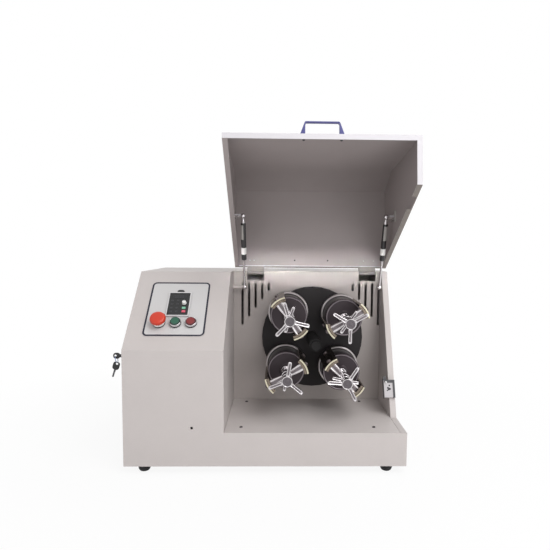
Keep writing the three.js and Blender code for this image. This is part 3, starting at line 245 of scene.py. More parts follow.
class FinishShop:
    """Makes the materials, and the node groups that they share."""

    def __init__(self) -> None:
        """Builds the shared node groups once."""
        self.made: dict[str, bpy.types.Material] = {}
        even, drawn_out = (1.0, 1.0, 1.0), (1.0, 1.0, 0.04)
        self.grains = {
            Surface.POWDER_COAT: self._grain_group("orange_peel", even, 1.0, 0.4),
            Surface.BRUSHED: self._grain_group("brushed_grain", drawn_out, 3.0, 0.6),
            Surface.CAST: self._grain_group("cast_grain", even, 6.0, 0.7),
            Surface.MOULDED: self._grain_group("moulded_grain", even, 2.0, 0.5),
        }
        self.edge_wear = self._mask_group("edge_wear", 0.3, 120.0, 4.0, self._outer_edges)
        self.settled_dust = self._mask_group("settled_dust", 0.2, 35.0, 5.0, self._upward_faces)

    @staticmethod
    def _group(name: str, entry: str, value: float, outputs: Sequence[str]) -> Tree:
        """Starts a node group with one input.

        Args:
            name: The group's name.
            entry: The input's name.
            value: The input's default.
            outputs: The names of the outputs.

        Returns:
            The group with its input and output nodes.
        """
        tree = bpy.data.node_groups.new(name, "ShaderNodeTree")
        socket = tree.interface.new_socket(entry, in_out="INPUT", socket_type="NodeSocketFloat")
        socket.default_value = value
        for label in outputs:
            tree.interface.new_socket(label, in_out="OUTPUT", socket_type="NodeSocketFloat")
        tree.nodes.new("NodeGroupInput")
        tree.nodes.new("NodeGroupOutput")
        return tree

    def _grain_group(self, name: str, stretch: Sequence[float], detail: float, rough: float) -> Tree:
        """Fine relief and a slow change of tone.

        Args:
            name: The group's name.
            stretch: The grain's scale along each axis.
            detail: The relief's octaves.
            rough: The relief's roughness.

        Returns:
            A group with Scale in, and Tone and Height out.
        """
        slow_scale, slow_detail, fine_share = 14.0, 3.0, 0.4
        tree = self._group(name, "Scale", GRAIN_SCALE, ("Tone", "Height"))
        scale = tree.nodes["Group Input"].outputs["Scale"]
        leave = tree.nodes["Group Output"]
        place = add_node(tree, "TexCoord").outputs["Object"]
        drawn = add_node(tree, "Mapping", {"Scale": stretch}, {"Vector": place}).outputs["Vector"]
        texture = {"Detail": detail, "Roughness": rough}
        relief = add_node(tree, "TexNoise", texture, {"Vector": drawn, "Scale": scale}).outputs["Fac"]
        texture = {"Scale": slow_scale, "Detail": slow_detail}
        slow = add_node(tree, "TexNoise", texture, {"Vector": place}).outputs["Fac"]
        tone = add_node(tree, "Mix", {"Factor": fine_share}, {"A": slow, "B": relief}, data_type="FLOAT")
        tree.links.new(tone.outputs["Result"], leave.inputs["Tone"])
        tree.links.new(relief, leave.inputs["Height"])
        return tree

    def _mask_group(self, name: str, value: float, scale: float, detail: float,
                    mask: Callable[[Tree], Socket]) -> Tree:
        """A mask that noise breaks up.

        Args:
            name: The group's name.
            value: The default of its amount.
            scale: The noise's scale.
            detail: The noise's octaves.
            mask: Adds the whole mask to a tree.

        Returns:
            A group with Amount in and Mask out.
        """
        tree = self._group(name, "Amount", value, ("Mask",))
        place = add_node(tree, "TexCoord").outputs["Object"]
        patches = add_node(tree, "TexNoise", {"Scale": scale, "Detail": detail}, {"Vector": place})
        total = mask(tree)
        for share in (patches.outputs["Fac"], tree.nodes["Group Input"].outputs["Amount"]):
            product = add_node(tree, "Math", sources={0: total, 1: share}, operation="MULTIPLY")
            total = product.outputs["Value"]
        tree.links.new(total, tree.nodes["Group Output"].inputs["Mask"])
        return tree

    @staticmethod
    def _outer_edges(tree: Tree) -> Socket:
        """Adds a mask of outer edges.

        Args:
            tree: Where its nodes go.

        Returns:
            The mask.
        """
        point = add_node(tree, "NewGeometry").outputs["Pointiness"]
        limits = {"From Min": WORN_EDGE[0], "From Max": WORN_EDGE[1]}
        return add_node(tree, "MapRange", limits, {"Value": point}).outputs["Result"]

    @staticmethod
    def _upward_faces(tree: Tree) -> Socket:
        """Adds a mask of faces that look up.

        Args:
            tree: Where its nodes go.

        Returns:
            The mask.
        """
        normal = add_node(tree, "NewGeometry").outputs["Normal"]
        up = add_node(tree, "SeparateXYZ", sources={"Vector": normal}).outputs["Z"]
        return add_node(tree, "MapRange", {"From Min": DUSTY_SLOPE}, {"Value": up}).outputs["Result"]

    @staticmethod
    def linear(rgb: Rgb, gain: float = 1.0) -> tuple[float, float, float, float]:
        """Turns an sRGB colour into the linear one that a socket takes.

        Args:
            rgb: Red, green and blue from 0 to 255.
            gain: What the linear colour is multiplied by.

        Returns:
            Linear red, green, blue and an alpha of 1.
        """
        parts = [value / 255 for value in rgb]
        parts = [v / 12.92 if v <= 0.04045 else ((v + 0.055) / 1.055) ** 2.4 for v in parts]
        return (*(min(1.0, v * gain) for v in parts), 1.0)

    def material(self, finish: Finish) -> bpy.types.Material:
        """Gives the material of a finish, and makes it the first time.

        Args:
            finish: The finish.

        Returns:
            The material.
        """
        if finish.name in self.made:
            return self.made[finish.name]
        material = bpy.data.materials.new(finish.name)
        material.use_nodes = True
        tree = material.node_tree
        shader = tree.nodes["Principled BSDF"]
        shader.inputs["Metallic"].default_value = finish.metallic
        shader.inputs["Coat Weight"].default_value = finish.coat
        shader.inputs["Coat Roughness"].default_value = COAT_ROUGHNESS
        grain = add_node(tree, "Group", node_tree=self.grains[finish.surface])
        grain.inputs["Scale"].default_value = finish.grain
        darker, lighter = (self.linear(finish.rgb, 1 + sign * finish.contrast) for sign in (-1, 1))
        tones = {"A": darker, "B": lighter}
        tone = add_node(tree, "Mix", tones, {"Factor": grain.outputs["Tone"]}, data_type="RGBA")
        colour = tone.outputs["Result"]
        worn = (self.edge_wear, finish.wear, WORN_RGB)
        dusty = (self.settled_dust, finish.dust, DUST_RGB)
        for group, amount, over in (worn, dusty):
            if amount:
                mask = add_node(tree, "Group", {"Amount": amount}, node_tree=group).outputs["Mask"]
                sources = {"Factor": mask, "A": colour}
                layer = add_node(tree, "Mix", {"B": self.linear(over)}, sources, data_type="RGBA")
                colour = layer.outputs["Result"]
        tree.links.new(colour, shader.inputs["Base Color"])
        low = max(SMOOTHEST, finish.roughness - finish.contrast)
        range_of = {"To Min": low, "To Max": finish.roughness + finish.contrast}
        gloss = add_node(tree, "MapRange", range_of, {"Value": grain.outputs["Tone"]})
        tree.links.new(gloss.outputs["Result"], shader.inputs["Roughness"])
        if finish.bump:
            depth = {"Strength": finish.bump, "Distance": RELIEF}
            bump = add_node(tree, "Bump", depth, {"Height": grain.outputs["Height"]})
            tree.links.new(bump.outputs["Normal"], shader.inputs["Normal"])
        self.made[finish.name] = material
        return material


def circle(radius: float, sides: int, x: float = 0.0, y: float = 0.0) -> list[Point]:
    """Points round a circle, from its right side."""
    turns = [math.tau * i / sides for i in range(sides)]
    return [(x + radius * math.cos(turn), y + radius * math.sin(turn)) for turn in turns]


def rounded(left: float, right: float, low: float, high: float, corner: float, steps: int = 8) -> list[Point]:
    """Points round a rectangle with round corners, from its right side.

    Args:
        left: Lowest x.
        right: Highest x.
        low: Lowest y.
        high: Highest y.
        corner: The corners' radius.
        steps: Parts of each corner.

    Returns:
        The outline, four corners of steps + 1 points.
    """
    near, far, under, over = left + corner, right - corner, low + corner, high - corner
    points = []
    for quarter, (x, y) in enumerate(((far, over), (near, over), (near, under), (far, under))):
        for step in range(steps + 1):
            turn = (quarter + step / steps) * math.pi / 2
            points.append((x + corner * math.cos(turn), y + corner * math.sin(turn)))
    return points


def sector(inner: float, outer: float, half: float, steps: int) -> list[Point]:
    """Points round a sector of a ring that lies across the x axis.

    Args:
        inner: Inner radius.
        outer: Outer radius.
        half: Half of its angle, in radians.
        steps: Parts of each arc.

    Returns:
        The outline.
    """
    turns = [half * (2 * i / steps - 1) for i in range(steps + 1)]
    near = [(inner * math.cos(turn), inner * math.sin(turn)) for turn in reversed(turns)]
    return [(outer * math.cos(turn), outer * math.sin(turn)) for turn in turns] + near


class Form:
    """A mesh of closed shells, in millimetres, built in one piece's own frame."""

    def __init__(self) -> None:
        """Starts an empty mesh."""
        self.mesh = bmesh.new()

    def _ring(self, points: Iterable[Sequence[float]], at: Matrix) -> list[bmesh.types.BMVert]:
        """Adds points that lie in a frame."""
        return [self.mesh.verts.new(at @ Vector(point)) for point in points]

    def _bands(self, loops: list[list[bmesh.types.BMVert]], closed: bool, capped: bool) -> "Form":
        """Joins rings in their order, where a ring may be a single point.

        Args:
            loops: The rings.
            closed: True joins the last ring to the first.
            capped: True closes both ends.

        Returns:
            This form.
        """
        for first, second in zip(loops, loops[1:] + (loops[:1] if closed else [])):
            count = max(len(first), len(second))
            for i in range(count):
                j = (i + 1) % count
                if len(first) == 1:
                    corners = (first[0], second[j], second[i])
                elif len(second) == 1:
                    corners = (first[i], first[j], second[0])
                else:
                    corners = (first[i], first[j], second[j], second[i])
                self.mesh.faces.new(corners)
        if capped:
            self.mesh.faces.new(loops[0])
            self.mesh.faces.new(loops[-1])
        return self

    def lathe(self, profile: Sequence[Point], sides: int = 48, at: Matrix = HERE,
              ring: bool = False) -> "Form":
        """Turns a profile of radius and height about z.

        Args:
            profile: The profile, which starts and ends on the axis unless it is a ring.
            sides: Parts round the axis.
            at: Where the axis stands.
            ring: True closes the profile on itself.

        Returns:
            This form.
        """
        loops = []
        for radius, height in profile:
            points = circle(radius, sides) if radius > 0 else [(0.0, 0.0)]
            loops.append(self._ring([(x, y, height) for x, y in points], at))
        return self._bands(loops, ring, False)

    def prism(self, outline: Sequence[Point], span: Span, at: Matrix = HERE) -> "Form":
        """Raises an outline along z, between two heights of a frame."""
        loops = [self._ring([(x, y, z) for x, y in outline], at) for z in span]
        return self._bands(loops, False, True)

    def rim(self, outer: Sequence[Point], inner: Sequence[Point], span: Span, at: Matrix = HERE) -> "Form":
        """Raises what lies between two outlines of as many points each.

        Args:
            outer: The outer outline.
            inner: The hole's outline.
            span: Lowest and highest z.
            at: The frame that it is in.

        Returns:
            This form.
        """
        low, high = span
        corners = ((outer, low), (outer, high), (inner, high), (inner, low))
        loops = [self._ring([(x, y, z) for x, y in outline], at) for outline, z in corners]
        return self._bands(loops, True, False)

    def loft(self, sections: Sequence[Sequence[Sequence[float]]], at: Matrix = HERE) -> "Form":
        """Joins closed sections of as many points each, and closes both ends."""
        return self._bands([self._ring(section, at) for section in sections], False, True)

    def block(self, x: Span, y: Span, z: Span) -> "Form":
        """Adds a block between two places along each axis."""
        return self.prism([(x[0], y[0]), (x[1], y[0]), (x[1], y[1]), (x[0], y[1])], z)


class Workshop:
    """Places pieces in the row frame, dresses them and makes them ride on their bodies."""

    plate_corner = Vector((2.3, 2.3, 0.0))

    def __init__(self, frame: dict, shop: FinishShop) -> None:
        """Finds the machine's frame inside the row frame.

        Args:
            shop: Where the materials come from.
        """
        self.nodes = frame["nodes"]
        self.shop = shop
        self.origin = self.plate_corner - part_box("base_plate")[0] / MM

    def at(self, x: float, y: float, z: float, turn: Matrix = HERE) -> Matrix:
        """The frame, in metres, at a place of the machine, turned."""
        return Matrix.Translation((Vector((x, y, z)) - self.origin) * MM) @ turn

    def body(self, node: str) -> str:
        """The body that a node belongs to."""
        return self.nodes[node]["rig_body"]

    def dress(self, node: str, finish: Finish, edge: float = 0.5, segments: int = 2) -> bpy.types.Object:
        """Gives a CAD node its material and soft edges.

        Args:
            node: The node's name.
            finish: Its finish.
            edge: How far its edges are rounded.
            segments: Parts of each rounding.

        Returns:
            The node's object.
        """
        piece = self.nodes[node]
        piece.data.materials.clear()
        piece.data.materials.append(self.shop.material(finish))
        piece.modifiers.new("weld", "WELD").merge_threshold = WELD_GAP
        flat = piece.modifiers.new("flat", "DECIMATE")
        flat.decimate_type = "DISSOLVE"
        flat.angle_limit = FLAT_ANGLE
        self._soften(piece, edge, segments)
        return piece

    def recolour(self, piece: bpy.types.Object, finishes: Sequence[Finish],
                 pick: Callable[[Face], int]) -> None:
        """Gives some faces of a dressed piece finishes of their own.

        Args:
            piece: The piece.
            finishes: The further finishes.
            pick: Gives a face's finish: 0 for the piece's own, or else its place among the further ones.
        """
        for finish in finishes:
            piece.data.materials.append(self.shop.material(finish))
        for face in piece.data.polygons:
            face.material_index = pick(face)

    @staticmethod
    def _soften(piece: bpy.types.Object, edge: float, segments: int) -> None:
        """Rounds a piece's edges and shades it smoothly.

        Args:
            piece: The piece.
            edge: How far its edges are rounded.
            segments: Parts of each rounding.
        """
        for face in piece.data.polygons:
            face.use_smooth = True
        if edge:
            bevel = piece.modifiers.new("edges", "BEVEL")
            bevel.width = edge * MM
            bevel.segments = segments
            bevel.limit_method = "ANGLE"
            bevel.angle_limit = EDGE_ANGLE
        weights = piece.modifiers.new("normals", "WEIGHTED_NORMAL")
        weights.keep_sharp = True

    def place(self, name: str, form: Form, where: Matrix, node: str, finish: Finish, edge: float = 0.3,
              segments: int = 2, stands_in: bool = False) -> None:
        """Makes a piece of a form.

        Args:
            name: The piece's name.
            form: Its mesh, in millimetres.
            where: Its frame, in metres.
            node: The CAD node on whose body it rides.
            finish: Its finish.
            edge: How far its edges are rounded.
            segments: Parts of each rounding.
            stands_in: True when it stands in for that node.
        """
        bmesh.ops.recalc_face_normals(form.mesh, faces=form.mesh.faces)
        bmesh.ops.scale(form.mesh, vec=(MM, MM, MM), verts=form.mesh.verts)
        mesh = bpy.data.meshes.new(name)
        form.mesh.to_mesh(mesh)
        form.mesh.free()
        mesh.materials.append(self.shop.material(finish))
        piece = bpy.data.objects.new(name, mesh)
        bpy.context.scene.collection.objects.link(piece)
        piece.matrix_world = where
        self._soften(piece, edge, segments)
        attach(piece, self.body(node))
        if stands_in:
            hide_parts(node)
        LOG.info("%s rides on %s", name, self.body(node))


def screw_heads(places: Iterable[Sequence[float]], radius: float, height: float) -> Form:
    """Domed screw heads with a round socket, standing along z.

    Args:
        places: Where each stands.
        radius: Their radius.
        height: Their height.

    Returns:
        The form.
    """
    form = Form()
    shares = ((0, 0), (1, 0), (1, 0.35), (0.8, 0.85), (0.5, 1), (0.45, 1), (0.4, 0.4), (0, 0.4))
    profile = [(radius * out, height * up) for out, up in shares]
    for place in places:
        form.lathe(profile, 20, Matrix.Translation(place))
    return form


@dataclass
class Cabinet:
    """The painted cabinet with its chamber, floor and feet."""

    shop: Workshop
    # The back wall takes a darker copy of the cabinet paint, painted shade, and the chamber floor a lighter
    # one, painted light.
    sheets: tuple = (
        ("cabinet_shell", CABINET_PAINT), ("right_side_panel", CABINET_PAINT), ("rear_cover", CABINET_PAINT),
        ("back_wall", CHAMBER_PAINT_SHADE), ("chamber_floor", FLOOR_PAINT_LIT), ("base_plate", ZINC))
    width: float = 685.0
    depth: float = 480.0
    foot_radius: float = 15.0
    foot_height: float = 20.0
    foot_flat: float = 8.0
    foot_dome: float = 12.0
    foot_steps: int = 8
    side_inset: float = 44.0
    front_inset: float = 27.0
    floor_top: float = 83.0
    floor_screws: tuple = ((281, 250, 0), (609, 253, 0), (280, 39, 0), (611, 39, 0))
    screw_size: Point = (4.2, 2.4)

    def build(self) -> None:
        """Dresses the sheet metal and adds the feet and screws."""
        for node, finish in self.sheets:
            self.shop.dress(node, finish, 0.7)
        wall = self.shop.nodes["back_wall"]
        # Faces of the wall that look sideways, up or down, the slots' walls among them, are painted black:
        # painted shade in the slots.
        self.shop.recolour(wall, [BLACK_MARK_AND_SLOT_SHADE], lambda face: int(abs(face.normal.y) < NEAR))
        self._feet()
        heads = screw_heads(self.floor_screws, *self.screw_size)
        where = self.shop.at(0, 0, self.floor_top)
        self.shop.place("floor_screws", heads, where, "cabinet_shell", DARK_ZINC_AND_HOLE_SHADE, 0.15)

    def _feet(self) -> None:
        """Four domed rubber feet, each with a washer above it."""
        radius, height, flat = self.foot_radius, self.foot_height, self.foot_flat
        turns = [math.pi / 2 * i / self.foot_steps for i in range(self.foot_steps + 1)]
        dome = [(flat + (radius - flat) * math.sin(turn), self.foot_dome * (1 - math.cos(turn)) - height)
                for turn in turns]
        profile = [(0, 2.5 - height), (4, 2.5 - height), (4, -height), *dome,
                   (radius, -2), (radius - 1, -1.2), (0, -1.2)]
        washer = [(0, -1.2), (radius - 3, -1.2), (radius - 3, -0.3), (0, -0.3)]
        rows = {"front": self.front_inset, "rear": self.depth - self.front_inset}
        sides = {"left": self.side_inset, "right": self.width - self.side_inset}
        for row, y in rows.items():
            for side, x in sides.items():
                node = f"foot_{row}_{side}"
                where = self.shop.at(x, y, 0)
                self.shop.place(f"{node}_rubber", Form().lathe(profile), where, node, RUBBER, stands_in=True)
                self.shop.place(f"{node}_washer", Form().lathe(washer), where, node, ZINC, 0.1)


@dataclass
class ControlPanel:
    """The panel on the slope: overlay, keypad, push buttons and emergency stop."""

    shop: Workshop
    slope: float = math.radians(43.748)
    foot: float = 283.0
    overlay: tuple = (40.0, 191.0, 42.0, 218.0)
    corner: float = 12.0
    line: float = 4.4
    top: float = 1.3
    ink: float = 0.15
    keypad: Point = (117.4, 140.5)
    keypad_half: Point = (29.0, 39.3)
    keypad_rim: float = 2.8
    keypad_face: float = 4.8
    keypad_depths: Span = (-2.0, 6.2)
    knob: Point = (131.0, 143.0)
    buttons_up: float = 81.0
    buttons: tuple = (("green", 116.5, GREEN, GREEN_EDGE_SHADE), ("red", 155.0, RED, RED_EDGE_SHADE))
    estop_x: float = 76.0
    nut: tuple = ((11.0, -6.5), (14.5, -6.5), (14.5, -2.4), (11.0, -2.4))
    icon_rows: tuple = (152.0, 141.0, 128.0, 116.5)
    icon_columns: tuple = (-17.5, -3.5)
    digits: int = 4
    digit_pitch: float = 6.4

    def _at(self, x: float, y: float) -> Matrix:
        """The frame at a place of the slope."""
        foot = self.shop.at(0, 0, self.foot, Matrix.Rotation(self.slope, 4, "X"))
        return foot @ Matrix.Translation(Vector((x, y, 0)) * MM)

    def build(self) -> None:
        """Dresses the panel and adds its parts."""
        self.shop.dress("control_panel", PANEL_FILM, 0.2)
        left, right, low, high = self.overlay
        outer = rounded(left, right, low, high, self.corner)
        line = self.line
        inner = rounded(left + line, right - line, low + line, high - line, self.corner - line)
        outline = Form().rim(outer, inner, (self.top, self.top + self.ink))
        self.shop.place("panel_outline", outline, self._at(0, 0), "control_panel", NAVY_INK, 0.0)
        self._keypad()
        self._knob()
        for button in self.buttons:
            self._button(*button)
        self._estop()

    def _on_black(self, into: Matrix, face: Face) -> int:
        """Whether a face of the keypad's case is black.

        Args:
            into: What turns the row frame into the keypad's.
            face: The face.

        Returns:
            1 for the face within the rim and for the tab above the case, or else 0.
        """
        x, y, z = (into @ face.center) / MM
        half_x, half_y = self.keypad_half
        low, high = self.keypad_depths
        within = abs(x) < half_x - self.keypad_rim and abs(y) < half_y - self.keypad_rim
        return int((within and low < z < high) or y > half_y + 1)

    def _keypad(self) -> None:
        """The inverter's front: a pale case with a black face, a display and marks."""
        case = self.shop.dress("inverter_keypad", INVERTER_CASE, 0.4)
        into = self._at(*self.keypad).inverted()
        self.shop.recolour(case, [KEYPAD_FACE], lambda face: self._on_black(into, face))
        x, y = self.keypad
        low = self.keypad_face
        flat = self._at(0, 0)
        screen = Form().prism(rounded(x - 18, x + 18, y + 19, y + 30, 1.5), (low, low + 0.5))
        self.shop.place("keypad_display", screen, flat, "inverter_keypad", DISPLAY, 0.15)
        marks = Form()
        for row in self.icon_rows:
            for column in (x + offset for offset in self.icon_columns):
                outer = rounded(column - 3, column + 3, row - 2.2, row + 2.2, 1.4, 4)
                inner = rounded(column - 2.5, column + 2.5, row - 1.7, row + 1.7, 1.0, 4)
                marks.rim(outer, inner, (low, low + 0.2))
                marks.block((column - 1.2, column + 1.2), (row - 0.4, row + 0.4), (low, low + 0.2))
        for left in (x - 13 + i * self.digit_pitch for i in range(self.digits)):
            for under in (26.4, 21.6):
                marks.block((left, left + 4.2), (y + under, y + under + 0.5), (low + 0.45, low + 0.6))
        self.shop.place("keypad_marks", marks, flat, "inverter_keypad", ICON_INK, 0.0)
        self.shop.dress("run_key", PALE_GREEN, 0.6, 3)
        self.shop.dress("stop_key", PALE_RED, 0.6, 3)

    def _knob(self) -> None:
        """The keypad's dial, with a pointer line."""
        low, high = self.keypad_face + 0.3, self.keypad_face + 7.3
        profile = [(0, 0.4), (2.4, 0.4), (2.4, low), (5.6, low), (5.6, low + 1.2), (5.0, low + 1.6),
                   (4.7, high - 0.6), (4.1, high), (0, high)]
        where, node = self._at(*self.knob), "keypad_knob"
        dial = Form().lathe(profile)
        self.shop.place("keypad_dial", dial, where, node, WHITE_PLASTIC, 0.25, stands_in=True)
        pointer = Form().block((-0.5, 0.5), (1.0, 4.2), (high - 0.1, high + 0.15))
        self.shop.place("keypad_dial_pointer", pointer, where, node, DARK_PLASTIC, 0.0)

    def _button(self, colour: str, x: float, finish: Finish, edge: Finish) -> None:
        """A push button: black base and barrel, chrome ring and coloured cap.

        Args:
            colour: The name of its colour.
            x: Its place across the panel.
            finish: The finish of the cap's face.
            edge: The finish of the cap's edge, a darker copy of the cap's colour as painted shade.
        """
        where = self._at(x, self.buttons_up)
        bezel, button = f"{colour}_bezel", f"{colour}_button"
        base = [(9.9, -44), (11, -44), (11, 1.6), (14.6, 1.6), (14.6, 5.4), (12.7, 5.4), (12.7, 2.8),
                (9.9, 2.8)]
        ring = [(12.7, 5.4), (14.4, 5.4), (14.4, 8.8), (13.9, 10.3), (13.2, 10.6), (12.7, 10.2)]
        cap = [(0, -14), (9.6, -14), (9.6, 7.3), (12.2, 7.3), (12.2, 11.9), (11.5, 12.8), (10.4, 13.0),
               (9.8, 12.6), (0, 12.6)]
        face = [(0, 12.6), (9.7, 12.6), (9.5, 12.8), (0, 13.0)]
        seat = Form().lathe(base, ring=True).lathe(self.nut, 6, ring=True)
        self.shop.place(f"{bezel}_base", seat, where, bezel, BLACK_PLASTIC, 0.2, stands_in=True)
        self.shop.place(f"{bezel}_ring", Form().lathe(ring, ring=True), where, bezel, CHROME, 0.25)
        self.shop.place(f"{button}_cap", Form().lathe(cap), where, button, edge, 0.2, stands_in=True)
        self.shop.place(f"{button}_face", Form().lathe(face), where, button, finish, 0.05)

    def _estop(self) -> None:
        """The emergency stop: black base, white collar and red mushroom head."""
        where = self._at(self.estop_x, self.buttons_up)
        base = [(7.4, -44), (11, -44), (11, 1.6), (15.5, 1.6), (15.5, 4.6), (7.4, 4.6)]
        collar = [(7.4, 4.6), (14.8, 4.6), (14.8, 6.6), (13.4, 8.4), (7.4, 8.4)]
        head = [(0, -22), (7, -22), (7, 13.8), (14.5, 13.8), (17.5, 14.9), (19.2, 16.9), (19.5, 18.7),
                (19.1, 22.7), (17.8, 24.9), (15.6, 26.1), (9.8, 26.8), (0, 26.8)]
        seat = Form().lathe(base, ring=True).lathe(self.nut, 6, ring=True)
        self.shop.place("estop_seat", seat, where, "estop_base", BLACK_PLASTIC, stands_in=True)
        self.shop.place("estop_collar", Form().lathe(collar, ring=True), where, "estop_base", WHITE_PLASTIC)
        cap = Form().lathe(head, 64)
        self.shop.place("estop_mushroom", cap, where, "estop_head", ESTOP_RED, 0.2, stands_in=True)


@dataclass
class LockAndKeys:
    """The cam lock on the left side, its key and a second key on the ring."""

    shop: Workshop
    place: tuple = (0.0, 40.0, 262.0)
    bow: tuple = (-32.0, -15.0)
    bow_half: float = 7.4
    bow_corner: float = 6.6
    hole: float = 3.0
    hole_inset: float = 5.8
    drop: float = 1.6
    ring_radius: float = 8.0
    ring_wire: float = 0.9
    ring_steps: int = 40
    wire_steps: int = 10
    sway: float = 0.28
    lean: float = 0.3
    second_half: float = 8.2
    second_length: float = 20.0
    thickness: float = 1.2

    def build(self) -> None:
        """Makes the lock and both keys."""
        nose = [(4.6, -26), (8, -26), (8, 0.3), (10, 0.3), (10, 2.6), (8.6, 4.0), (4.6, 4.0)]
        barrel = Form().lathe(nose, ring=True)
        where = self.shop.at(*self.place, TO_LEFT)
        self.shop.place("lock_barrel", barrel, where, "key_lock", CHROME, 0.2, stands_in=True)
        where = self.shop.at(*self.place, TO_FRONT)
        left, right = self.bow
        outer = rounded(left, right, -self.bow_half, self.bow_half, self.bow_corner, 7)
        bow = self._holed(outer, left + self.hole_inset, 0.0)
        self.shop.place("lock_key_bow", bow, where, "lock_key", BLACK_PLASTIC, 0.5, 3, stands_in=True)
        collar = [(0, 1.5), (4.4, 1.5), (4.4, 9), (3.8, -right + 0.8), (0, -right + 0.8)]
        shank = Form().lathe(collar, 24, TO_LEFT)
        self.shop.place("lock_key_shank", shank, where, "lock_key", BLACK_PLASTIC, 0.2)
        blade = Form().block((-1.5, 10.0), (-3.2, 3.2), (-1.0, 1.0))
        self.shop.place("lock_key_blade", blade, where, "lock_key", CHROME, 0.2)
        self._second_key()

    def _holed(self, outer: list[Point], x: float, y: float, at: Matrix = HERE) -> Form:
        """A flat bow with a round hole.

        Args:
            outer: Its outline, from the right side.
            x: The hole's place.
            y: The hole's height.
            at: The frame that it is in.

        Returns:
            The form.
        """
        hole = circle(self.hole, len(outer), x, y)
        turn = len(outer) // 16
        return Form().rim(outer, hole[-turn:] + hole[:-turn], (-self.thickness, self.thickness), at)

    def _second_key(self) -> None:
        """The ring through the first key, with the second key on it."""
        x, y, z = self.place
        where = self.shop.at(x + self.bow[0] + self.hole_inset, y, z - self.drop, TO_FRONT)
        radius = self.ring_radius
        sway = Matrix.Rotation(self.sway, 4, "Z")
        middle = sway @ Matrix.Translation((0, -radius, 0)) @ TO_RIGHT
        section = [(radius + out, along) for along, out in circle(self.ring_wire, self.wire_steps)]
        wire = Form().lathe(section, self.ring_steps, middle, ring=True)
        self.shop.place("key_ring", wire, where, "spare_key", BLUE_STEEL, 0.0, stands_in=True)
        bow_top = Matrix.Translation((0, 2 * (self.ring_wire - radius), 0))
        hang = sway @ bow_top @ Matrix.Rotation(-self.lean - self.sway, 4, "Z")
        half, length = self.second_half, self.second_length
        bow = self._holed(rounded(-half, half, -length, 0, 5.6, 3), 0.6, -4.6, hang)
        self.shop.place("second_key_bow", bow, where, "spare_key", BLACK_PLASTIC, 0.5, 3)
        teeth = [(-2.2, -19), (-2.2, -38), (-0.5, -40), (1.1, -38.6), (2.2, -36.8), (1.2, -35), (2.2, -33.2),
                 (0.9, -31.4), (2.2, -29.6), (1.4, -27.8), (2.2, -26), (2.2, -19)]
        blade = Form().prism(teeth, (-0.9, 0.9), hang)
        self.shop.place("second_key_blade", blade, where, "spare_key", KEY_STEEL, 0.15)


